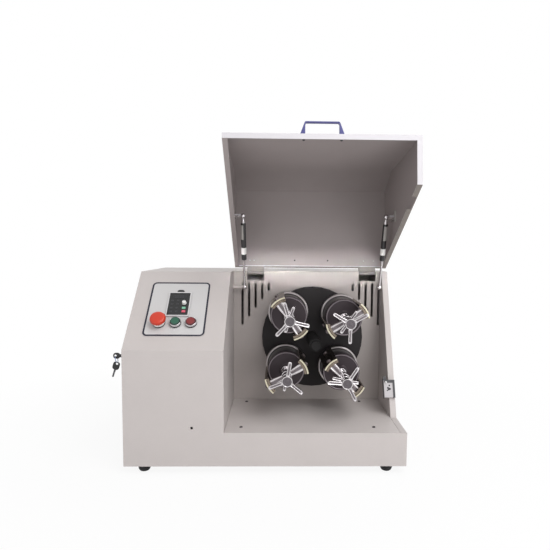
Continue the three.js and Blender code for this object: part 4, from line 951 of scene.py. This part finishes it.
@dataclass
class Hood:
    """The hinged hood with its handle, brackets and screws."""

    shop: Workshop
    pin: Point = (282.5, 456.3)
    open_turn: float = math.radians(-96.3)
    inner: tuple = (246.4, 684.1, 2.0, 463.0)
    inner_slack: float = 0.2
    fold: float = 22.0
    notch: Span = (150.0, 200.0)
    handle: Point = (467.5, 121.0)
    handle_screws: tuple = (425.4, 511.4)
    handle_screw_size: Point = (3.4, 2.2)
    stud: tuple = (137.0, 342.0)
    screws: tuple = (("pale", (288, 300, 621, 650), ZINC), ("dark", (418, 515), DARK_ZINC_AND_HOLE_SHADE))
    screws_back: float = 245.5
    screw_size: Point = (2.2, 1.4)

    def _at(self, x: float, y: float, z: float, turn: Matrix = HERE) -> Matrix:
        """The open hood's frame at a place of the closed hood.

        Args:
            x: Place from the cabinet's left side.
            y: Place from its front, with the hood closed.
            z: Place from its lower edge, with the hood closed.
            turn: How the frame is turned.

        Returns:
            The matrix, in metres.
        """
        y_pin, z_pin = self.pin
        hinge = self.shop.at(0, y_pin, z_pin, Matrix.Rotation(self.open_turn, 4, "X"))
        return hinge @ Matrix.Translation(Vector((x, y - y_pin, z - z_pin)) * MM) @ turn

    def build(self) -> None:
        """Dresses the shell and adds what is fixed to it."""
        shell = self.shop.dress("hood_shell", HOOD_PAINT, 0.8)
        into = self._at(0, 0, 0).inverted()
        # The inside, the sides, the top and the right flange's lower part take darker copies of the hood
        # paint: painted shade.
        further = (HOOD_LINING_SHADE, HOOD_SIDE_SHADE, HOOD_FOLD_SHADE)
        self.shop.recolour(shell, further, lambda face: self._pick(into, face))
        # The hinge leaves take the darkened hood paint: painted shade.
        for node in ("hinge_leaf_left", "hinge_leaf_right"):
            self.shop.dress(node, LEAF_PAINT_SHADE, 0.3)
        self._handle()
        self._brackets()
        down = self._at(0, 0, self.inner[3], Matrix.Rotation(math.pi, 4, "Y"))
        for name, places, finish in self.screws:
            heads = screw_heads([(-x, self.screws_back, 0) for x in places], *self.screw_size)
            self.shop.place(f"hood_screws_{name}", heads, down, "hood_shell", finish, 0.1)

    def _pick(self, into: Matrix, face: Face) -> int:
        """Which finish a face of the shell takes.

        Args:
            into: What turns the row frame into the closed hood's.
            face: The face.

        Returns:
            1 inside, 3 on the right flange's lower part and 2 on other sides and the top, all three painted
            shade, or else 0.
        """
        left, right, front, top = self.inner
        x, y, z = (into @ face.center) / MM
        facing = into.to_3x3() @ face.normal
        slack = self.inner_slack
        within = left - slack < x < right + slack and y > front - slack and z < top + slack
        wall = abs(facing.x) > SQUARE and min(abs(x - left), abs(x - right)) < NEAR
        roof = facing.z < -SQUARE and z > top - NEAR
        plate = facing.y > SQUARE and y < front + NEAR
        slant = facing.y > LEANING and facing.z < -LEANING
        if within and (wall or roof or plate or slant):
            return 1
        under = face.normal.y < -TILTED and face.normal.z < -LEANING
        notch_end = facing.z < -SQUARE and self.notch[0] < z < self.notch[1]
        if x > right - self.fold and (under or notch_end) and abs(facing.x) < TILTED:
            return 3
        return 2 if abs(facing.x) > SQUARE or facing.z > TILTED else 0

    def _handle(self) -> None:
        """The pull handle, bent from one bar that widens towards its feet."""
        x, z = self.handle
        half = [(53.0, 0.3), (52.4, 5.0), (40.6, 36.4), (39.2, 38.8), (37.4, 39.4)]
        under = [(36.6, 36.4), (38.4, 33.6), (38.8, 31.0), (38.8, 0.3)]
        mirrored = [[(-a, b) for a, b in reversed(side)] for side in (half, under)]
        form = Form().prism([*half, *mirrored[0], *mirrored[1], *under], (-5, 5), UPSIDE_DOWN)
        where = self._at(x, 0, z)
        self.shop.place("pull_handle", form, where, "hood_handle", NAVY, 0.9, 3, stands_in=True)
        heads = screw_heads([(place, 0, 0) for place in self.handle_screws], *self.handle_screw_size)
        inward = self._at(0, self.inner[2], z, TO_FRONT @ UPSIDE_DOWN)
        self.shop.place("handle_screws", heads, inward, "hood_shell", DARK_PLASTIC, 0.1)

    def _brackets(self) -> None:
        """The plates on the hood's sides that hold the struts' studs."""
        for side, x, inward in (("left", self.inner[0], 1), ("right", self.inner[1], -1)):
            def span(first: float, last: float) -> Span:
                """From the hood's side inwards, between two distances."""
                return tuple(sorted((inward * first, inward * last)))

            plate = Form().prism(rounded(-24, 14, -9, 9, 3), span(0, 2))
            plate.block((-24, 14), (7.5, 9), span(0, 7))
            lip = Form().block((12.6, 14.2), (-15, 15), span(0, 3.6))
            nut = Form().prism(circle(5.2, 6), span(13, 18))
            # Dark discs on the plate stand for its holes: painted shade.
            holes = Form()
            for hole in (-17.0, 9.0):
                holes.prism(circle(3.0, 20, hole, 0), span(1.9, 2.15))
            where = self._at(x, *self.stud, TO_RIGHT)
            for name, form, finish, edge in (
                ("strut_bracket", plate, ZINC, 0.25), ("strut_plate", lip, STRUT_LABEL, 0.2),
                ("strut_stud_nut", nut, CHROME, 0.4), ("strut_bracket_hole_shade", holes, DARK_ZINC_AND_HOLE_SHADE, 0.0),
            ):
                self.shop.place(f"{name}_{side}", form, where, "hood_shell", finish, edge)


@dataclass
class GasStruts:
    """The two gas struts, cylinder up and rod down."""

    shop: Workshop
    places: tuple = (("left", 274.5, -150.0), ("right", 661.5, -60.0))
    low: Point = (258.0, 416.5)
    high: Point = (184.857, 613.464)
    radius: float = 7.0
    length: float = 107.0
    start: float = 20.0
    rod: float = 3.1
    film: Span = (0.02, 0.22)
    band: Span = (18.0, 37.0)
    label: Span = (61.0, 102.0)
    label_half: float = math.radians(62)

    def build(self) -> None:
        """Makes both struts."""
        reach = math.dist(self.low, self.high)
        lean = math.atan2(self.low[0] - self.high[0], self.high[1] - self.low[1])
        for side, x, label_turn in self.places:
            where = self.shop.at(x, *self.low, Matrix.Rotation(lean, 4, "X"))
            self._cylinder(side, where, reach, label_turn)
            self._rod(side, where, reach)

    @staticmethod
    def _eye(form: Form, height: float) -> None:
        """Adds a round eye that lies across x.

        Args:
            form: Where it goes.
            height: Its place along the strut.
        """
        half = [(3.25, -6), (4.6, -5.6), (6.2, -4.2), (7.2, -1.8)]
        profile = half + [(radius, -up) for radius, up in reversed(half)]
        form.lathe(profile, 32, Matrix.Translation((0, 0, height)) @ TO_RIGHT, ring=True)

    def _cylinder(self, side: str, where: Matrix, reach: float, label_turn: float) -> None:
        """The black tube with its labels, and its upper eye.

        Args:
            side: Which strut it is.
            where: The strut's frame at its lower stud.
            reach: The distance between its studs.
            label_turn: Which way the long label faces, in degrees.
        """
        node = f"strut_cylinder_{side}"
        high = reach - self.start
        low = high - self.length
        r = self.radius
        tube = [(0, high - 3), (3.5, high - 3), (3.5, low), (5.2, low), (6.4, low + 1.0), (r, low + 3.0),
                (r, high - 2.4), (5.6, high), (0, high)]
        barrel = Form().lathe(tube, 40)
        self.shop.place(f"strut_tube_{side}", barrel, where, node, BLACK_TUBE, 0.2, stands_in=True)
        end = reach - 5.6
        stem = [(0, high), (4.6, high), (4.6, high + 6), (3.4, high + 8), (3.0, end), (0, end)]
        neck = Form().lathe(stem, 28)
        self._eye(neck, reach)
        self.shop.place(f"strut_upper_eye_{side}", neck, where, node, CHROME, 0.2)
        inner, outer = r + self.film[0], r + self.film[1]
        bottom, top = (low + up for up in self.band)
        band = Form().lathe([(inner, bottom), (outer, bottom), (outer, top), (inner, top)], 40, ring=True)
        self.shop.place(f"strut_band_{side}", band, where, node, WHITE_BAND, 0.0)
        turn = Matrix.Rotation(math.radians(label_turn), 4, "Z")
        bottom, top = (low + up for up in self.label)
        label = Form().prism(sector(inner, outer, self.label_half, 18), (bottom, top), turn)
        self.shop.place(f"strut_label_{side}", label, where, node, STRUT_LABEL, 0.0)

    def _rod(self, side: str, where: Matrix, reach: float) -> None:
        """The rod and its lower eye.

        Args:
            side: Which strut it is.
            where: The strut's frame at its lower stud.
            reach: The distance between its studs.
        """
        node = f"strut_rod_{side}"
        top = reach - self.start - self.length + 10
        profile = [(0, 5.6), (4.2, 5.6), (4.2, 11), (self.rod, 12.4), (self.rod, top), (0, top)]
        form = Form().lathe(profile, 28)
        self._eye(form, 0)
        self.shop.place(f"strut_shaft_{side}", form, where, node, CHROME, 0.15, stands_in=True)


@dataclass
class Interlock:
    """The lid switch on the side panel's slanted flange."""

    shop: Workshop
    low: float = 131.0
    flange_foot: Point = (111.0, 83.0)
    flange_top: Point = (267.5, 462.0)
    right: float = 683.5
    width: float = 28.5
    length: float = 45.5
    marks: tuple = ((-14.0, 31.5, 2.6), (-18.0, 25.0, 3.2), (-13.4, 22.5, 3.4), (-20.0, 18.6, 2.2),
                    (-16.6, 20.6, 2.6))

    def build(self) -> None:
        """Dresses the switch and adds its dark backing and marks."""
        node = "interlock_switch"
        self.shop.dress(node, GREY_PLASTIC, 0.6, 3)
        self.shop.dress("interlock_plunger", WHITE_PLASTIC, 0.4, 3)
        (foot_y, foot_z), (top_y, top_z) = self.flange_foot, self.flange_top
        tilt = math.atan((top_y - foot_y) / (top_z - foot_z))
        y = foot_y + (self.low - foot_z) * math.tan(tilt)
        where = self.shop.at(self.right, y, self.low, Matrix.Rotation(-tilt, 4, "X"))
        left, length = -self.width, self.length
        trim = Form().block((left + 8, 0.4), (-8.6, -0.4), (length - 7.0, length + 1.2))
        trim.block((-5.2, 0.4), (-9.4, -0.4), (-0.5, length + 1.2))
        trim.block((left + 1, left + 8.4), (-8.7, -7.9), (length - 6.0, length))
        self.shop.place("interlock_bracket", trim, where, node, DARK_PLASTIC, 0.2)
        dots = Form()
        for x, z, radius in self.marks:
            profile = [(0, 8.05), (radius, 8.05), (radius * 0.85, 8.35), (0, 8.4)]
            dots.lathe(profile, 20, TO_FRONT @ Matrix.Translation((x, z, 0)))
        self.shop.place("interlock_screws", dots, where, node, BLACK_MARK_AND_SLOT_SHADE, 0.0)
        plate = Form().block((left - 1.6, left - 0.2), (-7.6, 3.0), (-2.0, length + 5.0))
        plate.block((left - 0.2, left + 9.0), (1.0, 3.0), (length + 0.4, length + 11.0))
        self.shop.place("interlock_side_plate", plate, where, node, DARK_PLASTIC, 0.2)


@dataclass
class Station:
    """One grinding station, drawn with z towards the front and x along its clamp bar."""

    shop: Workshop
    name: str
    side: float
    bar: float
    nut: float
    star: float
    axis: Point = (470.3, 272.2)
    disc_face: float = DISC_FACE
    pitch_radius: float = 105.0
    inside: float = 50.7
    sides: int = 72
    gear_form: tuple = (12, 34.75, 5.0)
    gear_span: Span = (-38.0, -22.0)
    arm_half: float = 21.0
    arm_front: float = 181.4
    arm_steps: int = 12
    jar_radius: float = 49.7
    halves: tuple = (0.0, math.pi)
    star_arms: int = 3
    floor_depth: float = 0.5
    thread_pitch: float = 2.4
    thread_span: Span = (122.0, 214.0)

    def build(self) -> None:
        """Makes the station's pieces."""
        self._cup()
        self._arms()
        self._jar()
        self._clamp()
        self._star()

    def _put(self, name: str, form: Form, turn: float, node: str, finish: Finish, edge: float = 0.3,
             segments: int = 2, stands_in: bool = False) -> None:
        """Places a piece of this station, turned as seen from the front.

        Args:
            name: The piece's name, without the station's.
            form: Its mesh.
            turn: How far it is turned, in degrees.
            node: The CAD node that it rides with, without the station's name.
            finish: Its finish.
            edge: How far its edges are rounded.
            segments: Parts of each rounding.
            stands_in: True when it stands in for that node.
        """
        angle, side = math.radians(turn), math.radians(self.side)
        x = self.axis[0] + self.pitch_radius * math.cos(side)
        z = self.axis[1] + self.pitch_radius * math.sin(side)
        c, s = math.cos(angle), math.sin(angle)
        basis = Matrix(((c, -s, 0, 0), (0, 0, -1, 0), (s, c, 0, 0), (0, 0, 0, 1)))
        where = self.shop.at(x, self.disc_face, z, basis)
        piece, cad = f"{name}_{self.name}", f"{node}_{self.name}"
        self.shop.place(piece, form, where, cad, finish, edge, segments, stands_in)

    def _cup(self) -> None:
        """The cup with its shaft, its gear and its lip, painted pale as a painted highlight."""
        r = self.inside
        cup = [(0, 18), (r - 0.4, 18), (r, 18.4), (r, 38.4), (r + 0.8, 39.2), (55, 39.2), (55.6, 38.2),
               (56, 36.2), (56, 13), (55, 12), (19, 12), (19, -24), (0, -24)]
        shell = Form().lathe(cup, self.sides)
        self._put("cup", shell, self.bar, "planet_cup", CUP_STEEL, 0.25, stands_in=True)
        gear = Form().prism(self._gear(*self.gear_form), self.gear_span)
        self._put("planet_gear", gear, self.bar, "planet_cup", MACHINED)
        lip = [(r + 0.6, 39.6), (r + 1.2, 40), (54.6, 40), (55.8, 39.0), (56.3, 38.4), (56.3, 36.4),
               (55.6, 36.4), (55.6, 38.6)]
        self._put("cup_lip_highlight", Form().lathe(lip, self.sides, ring=True), self.bar, "planet_cup", CUP_LIP_HIGHLIGHT, 0.1)

    @staticmethod
    def _gear(teeth: int, radius: float, depth: float) -> list[Point]:
        """A toothed outline.

        Args:
            teeth: How many teeth it has.
            radius: Its outer radius.
            depth: The teeth's height.

        Returns:
            The outline.
        """
        points = []
        root = radius - depth
        for i in range(teeth):
            for reach, share in ((radius, 0.125), (radius, 0.4375), (root, 0.625), (root, 0.9375)):
                turn = (i + share) * math.tau / teeth
                points.append((reach * math.cos(turn), -reach * math.sin(turn)))
        return points

    def _arms(self) -> None:
        """The cup's two hooked arms with their bolts."""
        r = self.inside
        arms, front, bolts = Form(), Form(), Form()
        half = self.arm_half / (r + 3)
        front_z, steps = self.arm_front, self.arm_steps
        head = [(0, r + 9.6), (4.4, r + 9.6), (4.0, r + 11.2), (0, r + 11.6)]
        for turn in self.halves:
            spin = Matrix.Rotation(turn, 4, "Z")
            arms.prism(sector(r + 0.05, r + 6, half, steps), (38, front_z), spin)
            arms.prism(sector(r - 5, r + 2, half * 1.02, steps), (176, front_z), spin)
            # The arms' front ends take the pale finish: painted highlight.
            front.prism(sector(r + 2.2, r + 6, half, steps), (front_z, 183), spin)
            low, high = (spin @ Matrix.Translation((0, 0, height)) @ TO_RIGHT for height in (60, 164))
            bolts.prism(circle(6.4, 6), (r + 5, r + 9.6), high).lathe(head, 20, high)
            bolts.prism(circle(6.4, 6), (r + 5, r + 9.6), low)
        self._put("bracket", arms, self.bar, "planet_cup", BRACKET, 0.6, 3)
        self._put("bracket_edge_highlight", front, self.bar, "planet_cup", BRACKET_EDGE_HIGHLIGHT, 0.4)
        self._put("bracket_bolts", bolts, self.bar, "planet_cup", CUP_STEEL)

    def _jar(self) -> None:
        """The jar and its lid with a raised rim and pad."""
        r = self.jar_radius
        jar = [(0, 18.3), (r - 2, 18.3), (r, 20.3), (r, 93.9), (r - 0.8, 94.7), (42.3, 94.7), (41.7, 94.1),
               (41.7, 29.3), (39.7, 27.3), (0, 27.3)]
        lid = [(0, 88), (41.2, 88), (41.2, 95), (r - 0.6, 95), (r, 95.6), (r, 101.0), (r - 1.0, 101.6),
               (r - 1.0, 102.6), (r, 103.2), (r, 110.6), (r - 1.4, 112), (46.4, 112), (45.4, 110.8),
               (19.5, 110.8), (18.2, 112), (17, 112), (17, 114.4), (16.4, 115), (0, 115)]
        ring = [(r - 4.4, 111.2), (r - 3.4, 111.9), (r - 1.6, 112.05), (r - 1.6, 112.3), (r - 3.6, 112.3),
                (r - 4.6, 111.5)]
        pot = Form().lathe(jar, self.sides)
        self._put("grinding_jar", pot, self.bar, "jar", JAR_STEEL, 0.2, stands_in=True)
        cover = Form().lathe(lid, self.sides)
        self._put("grinding_jar_lid", cover, self.bar, "jar_lid", LID_STEEL, 0.25, stands_in=True)
        # A pale ring on the lid's raised rim: painted highlight.
        self._put("lid_ring_highlight", Form().lathe(ring, self.sides, ring=True), self.bar, "jar_lid", LID_RING_HIGHLIGHT, 0.0)

    @staticmethod
    def _channel(x: float, half: float, low: float, high: float, groove: float) -> list[Place]:
        """A section across x of a bar with round shoulders and a groove along its front.

        Args:
            x: Its place along the bar.
            half: Half of its width.
            low: Its lowest z.
            high: Its highest z.
            groove: The groove's depth.

        Returns:
            The section's points.
        """
        shares = ((0.62, 0.0), (1.0, 0.3), (1.0, 0.72), (0.88, 0.93), (0.7, 1.0), (0.5, 0.93))
        right = [(out * half, low + up * (high - low)) for out, up in shares] + [(0.34 * half, high - groove)]
        return [(x, y, z) for y, z in right] + [(x, -y, z) for y, z in reversed(right)]

    def _arm(self, widths: tuple[float, float, float], reach: Span, depth: Span) -> list[list[Place]]:
        """A handle's arm that narrows, widens and ends round, as sections.

        Args:
            widths: Half its width at its root, its waist and its end.
            reach: Where it starts and ends on x.
            depth: Its lowest and highest z.

        Returns:
            The sections' points.
        """
        root, waist, tip = widths
        start, end = reach
        low, high = depth
        middle = start + (end - start) * 0.35
        stages = ((start, root, 0.0, 1.4), (middle, waist, 0.4, 1.8), (end - tip, tip, 0.0, 1.8),
                  (end - tip * 0.35, tip * 0.86, 0.3, 0.9), (end, tip * 0.5, 1.2, 0.1))
        return [self._channel(x, half, low + inset, high - inset, groove)
                for x, half, inset, groove in stages]

    def _groove_shade(self, stages: Sequence[Point], height: float) -> list[list[Place]]:
        """The floor of a groove, painted dark as painted shade, as sections.

        Args:
            stages: Each section's x and half its width.
            height: The floor's z.

        Returns:
            The sections' points.
        """
        low = height - self.floor_depth
        return [[(x, -y, height), (x, y, height), (x, y, low), (x, -y, low)] for x, y in stages]

    def _clamp(self) -> None:
        """The clamp bar under the hooks, and the two-armed lock nut."""
        end, half, waist = 49.0, 10.0, 7.6
        low, high = 162.7, 175.7
        stages = ((-end, half), (-33, half), (-14, waist), (14, waist), (33, half), (end, half))
        bar = Form().loft([self._channel(x, wide, low, high, 2.6) for x, wide in stages])
        bar.lathe([(7.2, 160.5), (13, 160.5), (13, 177.2), (7.2, 177.2)], 40, ring=True)
        self._put("clamp", bar, self.bar, "clamp_bar", CHROME, 0.7, stands_in=True)
        # The grooves' floors are painted dark: painted shade.
        floor = Form()
        for side in (1, -1):
            floor.loft(self._groove_shade([(side * 13.2, 2.6), (side * 33, 3.5), (side * 48.6, 3.5)], high - 2.3))
        self._put("clamp_groove_shade", floor, self.bar, "clamp_bar", GROOVE_SHADE, 0.0)
        nut = Form().lathe([(6.9, 177.2), (12, 177.2), (12, 200.8), (10.8, 202), (6.9, 202)], 40, ring=True)
        floor = Form()
        for turn in self.halves:
            spin = Matrix.Rotation(turn, 4, "Z")
            nut.loft(self._arm((5.0, 3.6, 4.4), (9.0, 34.0), (193.2, 201.2)), spin)
            floor.loft(self._groove_shade([(12.2, 1.5), (18, 1.2), (29.6, 1.5)], 199.4), spin)
        self._put("lock_nut", nut, self.nut, "clamp_bar", CHROME, 0.4)
        self._put("lock_nut_groove_shade", floor, self.nut, "clamp_bar", GROOVE_SHADE, 0.0)

    def _star(self) -> None:
        """The star screw: ringed hub, three arms, threaded shaft and pad."""
        crest, root, flank = 6.5, 5.9, 1.2
        thread = []
        low, height = self.thread_span
        while height > low:
            thread += [(crest, height), (root, height - flank)]
            height -= self.thread_pitch
        hub = [(0, 231.2), (11.0, 231.2), (11.2, 234.4), (11.8, 235), (13.0, 235), (14, 233.6), (14, 217.4),
               (12.8, 216), (crest, 216), *thread, (crest, 120.3), (12.2, 120.3), (13, 119.5), (13, 116),
               (12.2, 115.3), (0, 115.3)]
        self._put("star_hub", Form().lathe(hub, 40), self.star, "star_screw", CHROME, 0.2, stands_in=True)
        # The arms' grooves get dark floors: painted shade.
        arms, floor = Form(), Form()
        for i in range(self.star_arms):
            spin = Matrix.Rotation(math.tau * i / self.star_arms, 4, "Z")
            arms.loft(self._arm((6.2, 4.4, 5.0), (9.0, 49.0), (223, 232)), spin)
            floor.loft(self._groove_shade([(14.2, 1.9), (23, 1.5), (44, 1.7)], 230.2), spin)
        self._put("star_arms", arms, self.star, "star_screw", CHROME, 0.5)
        self._put("star_groove_shade", floor, self.star, "star_screw", GROOVE_SHADE, 0.0)
        # The cap sits in the hub's recess and is painted darker: painted shade.
        cap = [(0, 231.2), (10.8, 231.2), (10.8, 232.8), (10.2, 233.3), (6.2, 233.3), (5.8, 232.6),
               (5.0, 232.6), (4.6, 233.3), (0, 233.6)]
        self._put("star_cap_shade", Form().lathe(cap, 36), self.star, "star_screw", STAR_CAP_SHADE, 0.15)


@dataclass
class Mill:
    """The disc with its four stations, and the drive behind the wall."""

    shop: Workshop
    stations: tuple = (
        ("upper_left", 132.8, 125.0, 72.0, -13.0),
        ("upper_right", 42.8, 31.0, 54.0, 29.0),
        ("lower_left", 222.8, 30.0, 78.0, -39.0),
        ("lower_right", 312.8, 134.0, 169.0, -63.0),
    )
    drive: tuple = (
        ("main_spindle", MACHINED), ("bearing_housing", HOUSING), ("drive_belt", RUBBER),
        ("motor", MOTOR_PAINT), ("motor_pulley", MACHINED))
    disc_face: float = DISC_FACE
    boss_clear: float = 3.0

    def build(self) -> None:
        """Dresses the disc and the drive and makes the stations."""
        disc = self.shop.dress("planet_disc", DISC_STEEL, 0.6)
        into = self.shop.at(0, self.disc_face, 0).inverted()
        front = -self.boss_clear
        self.shop.recolour(disc, [BOSS_STEEL], lambda face: int((into @ face.center).y / MM < front))
        for node, finish in self.drive:
            self.shop.dress(node, finish)
        for station in self.stations:
            Station(self.shop, *station).build()


@dataclass
class Studio:
    """A white floor and background, soft lamps and the photograph's camera."""

    eye: tuple = (0.04233, -1.38522, 0.54409)
    lens: float = 32.872
    sensor: float = 36.0
    shift: Point = (-0.023756, 0.026760)
    pitch: float = 0.079908
    yaw: float = 0.021955
    roll: float = 0.008083
    floor_half: float = 6.0
    floor_grey: float = 0.86
    floor_rough: float = 0.9
    fade: Span = (0.5, 1.2)
    near_glow: float = 0.9
    ambient: float = 0.5
    lamps: tuple = (
        ("key", (0.95, -1.4, 2.15), (0.0, 0.0, 0.4), (1.6, 1.6), 37.0, 180.0),
        ("fill", (-1.2, -1.7, 0.9), (0.0, 0.0, 0.4), (1.4, 1.4), 4.5, 180.0),
        ("low_fill", (1.15, -1.7, 0.45), (0.05, 0.0, 0.3), (1.0, 0.8), 5.5, 180.0),
        ("rim", (0.3, 1.1, 2.2), (0.0, 0.0, 0.4), (1.4, 1.4), 10.0, 180.0),
        ("strip", (0.12, -0.8, 0.58), (0.12, 0.08, 0.487), (0.46, 0.02), 0.1, 9.0),
    )

    def build(self) -> None:
        """Makes the camera, the floor, the world and the lamps."""
        self._camera()
        self._floor()
        self._world()
        for lamp in self.lamps:
            self._lamp(*lamp)

    def _camera(self) -> None:
        """The camera, from its fitted place and turn."""
        p, y, r = self.pitch, self.yaw, self.roll
        forward = Vector((math.sin(y) * math.cos(p), math.cos(y) * math.cos(p), -math.sin(p)))
        level = Vector((math.cos(y), -math.sin(y), 0))
        up = level.cross(forward)
        right = level * math.cos(r) + up * math.sin(r)
        top = up * math.cos(r) - level * math.sin(r)
        data = bpy.data.cameras.new("photo_camera")
        data.lens = self.lens
        data.sensor_width = self.sensor
        data.shift_x, data.shift_y = self.shift
        camera = bpy.data.objects.new("photo_camera", data)
        turn = Matrix((right, top, -forward)).transposed().to_4x4()
        camera.matrix_world = Matrix.Translation(self.eye) @ turn
        bpy.context.scene.collection.objects.link(camera)
        bpy.context.scene.camera = camera

    @staticmethod
    def _seen(tree: Tree) -> Socket:
        """Adds a mask of the rays that see the background itself.

        Args:
            tree: Where its nodes go.

        Returns:
            The mask.
        """
        path = add_node(tree, "LightPath")
        total = path.outputs["Is Camera Ray"]
        for name in ("Is Glossy Ray", "Is Transmission Ray"):
            sources = {0: total, 1: path.outputs[name]}
            total = add_node(tree, "Math", sources=sources, operation="ADD", use_clamp=True).outputs["Value"]
        return total

    def _floor(self) -> None:
        """A wide pale floor that shows white and keeps a soft shadow."""
        mesh = bpy.data.meshes.new("floor")
        half = self.floor_half
        corners = [(-half, -half, 0), (half, -half, 0), (half, half, 0), (-half, half, 0)]
        mesh.from_pydata(corners, [], [(0, 1, 2, 3)])
        floor = bpy.data.objects.new("floor", mesh)
        bpy.context.scene.collection.objects.link(floor)
        material = bpy.data.materials.new("floor_white")
        material.use_nodes = True
        tree = material.node_tree
        shader = tree.nodes["Principled BSDF"]
        shader.inputs["Base Color"].default_value = (self.floor_grey, self.floor_grey, self.floor_grey, 1)
        shader.inputs["Roughness"].default_value = self.floor_rough
        place = add_node(tree, "TexCoord").outputs["Object"]
        away = add_node(tree, "VectorMath", sources={0: place}, operation="LENGTH").outputs["Value"]
        reach = {"From Min": self.fade[0], "From Max": self.fade[1], "To Min": self.near_glow}
        fade = add_node(tree, "MapRange", reach, {"Value": away}).outputs["Result"]
        share = add_node(tree, "Math", sources={0: self._seen(tree), 1: fade}, operation="MULTIPLY")
        glow = add_node(tree, "Emission").outputs["Emission"]
        sources = {"Fac": share.outputs["Value"], 1: shader.outputs["BSDF"], 2: glow}
        both = add_node(tree, "MixShader", sources=sources)
        tree.links.new(both.outputs["Shader"], tree.nodes["Material Output"].inputs["Surface"])
        mesh.materials.append(material)

    def _world(self) -> None:
        """White where it is seen, and a plain soft light elsewhere."""
        world = bpy.data.worlds.new("white_world")
        bpy.context.scene.world = world
        world.use_nodes = True
        tree = world.node_tree
        light = tree.nodes["Background"]
        light.inputs["Color"].default_value = (1, 1, 1, 1)
        light.inputs["Strength"].default_value = self.ambient
        white = add_node(tree, "Background", {"Color": (1, 1, 1, 1)}).outputs["Background"]
        sources = {"Fac": self._seen(tree), 1: light.outputs["Background"], 2: white}
        both = add_node(tree, "MixShader", sources=sources)
        tree.links.new(both.outputs["Shader"], tree.nodes["World Output"].inputs["Surface"])

    @staticmethod
    def _lamp(name: str, place: Sequence[float], target: Sequence[float], size: Point, power: float,
              spread: float) -> None:
        """A soft lamp.

        Args:
            name: Its name.
            place: Where it stands, in metres.
            target: What it faces.
            size: Its width and height.
            power: Its power in watts.
            spread: How wide it shines, in degrees.
        """
        data = bpy.data.lights.new(name, "AREA")
        data.shape = "RECTANGLE"
        data.size, data.size_y = size
        data.energy = power
        data.spread = math.radians(spread)
        lamp = bpy.data.objects.new(name, data)
        lamp.location = place
        lamp.rotation_mode = "QUATERNION"
        lamp.rotation_quaternion = (Vector(target) - Vector(place)).to_track_quat("-Z", "Y")
        bpy.context.scene.collection.objects.link(lamp)


def main() -> None:
    """Builds the looks of every sub-assembly in order."""
    logging.basicConfig(level=logging.INFO, format="%(name)s: %(message)s")
    bpy.context.scene.view_settings.view_transform = "Standard"
    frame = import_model()
    workshop = Workshop(frame, FinishShop())
    Studio().build()
    for assembly in (Cabinet, ControlPanel, LockAndKeys, Hood, GasStruts, Interlock, Mill):
        assembly(workshop).build()
        LOG.info("%s is built", assembly.__name__)


if __name__ == "__main__":
    main()
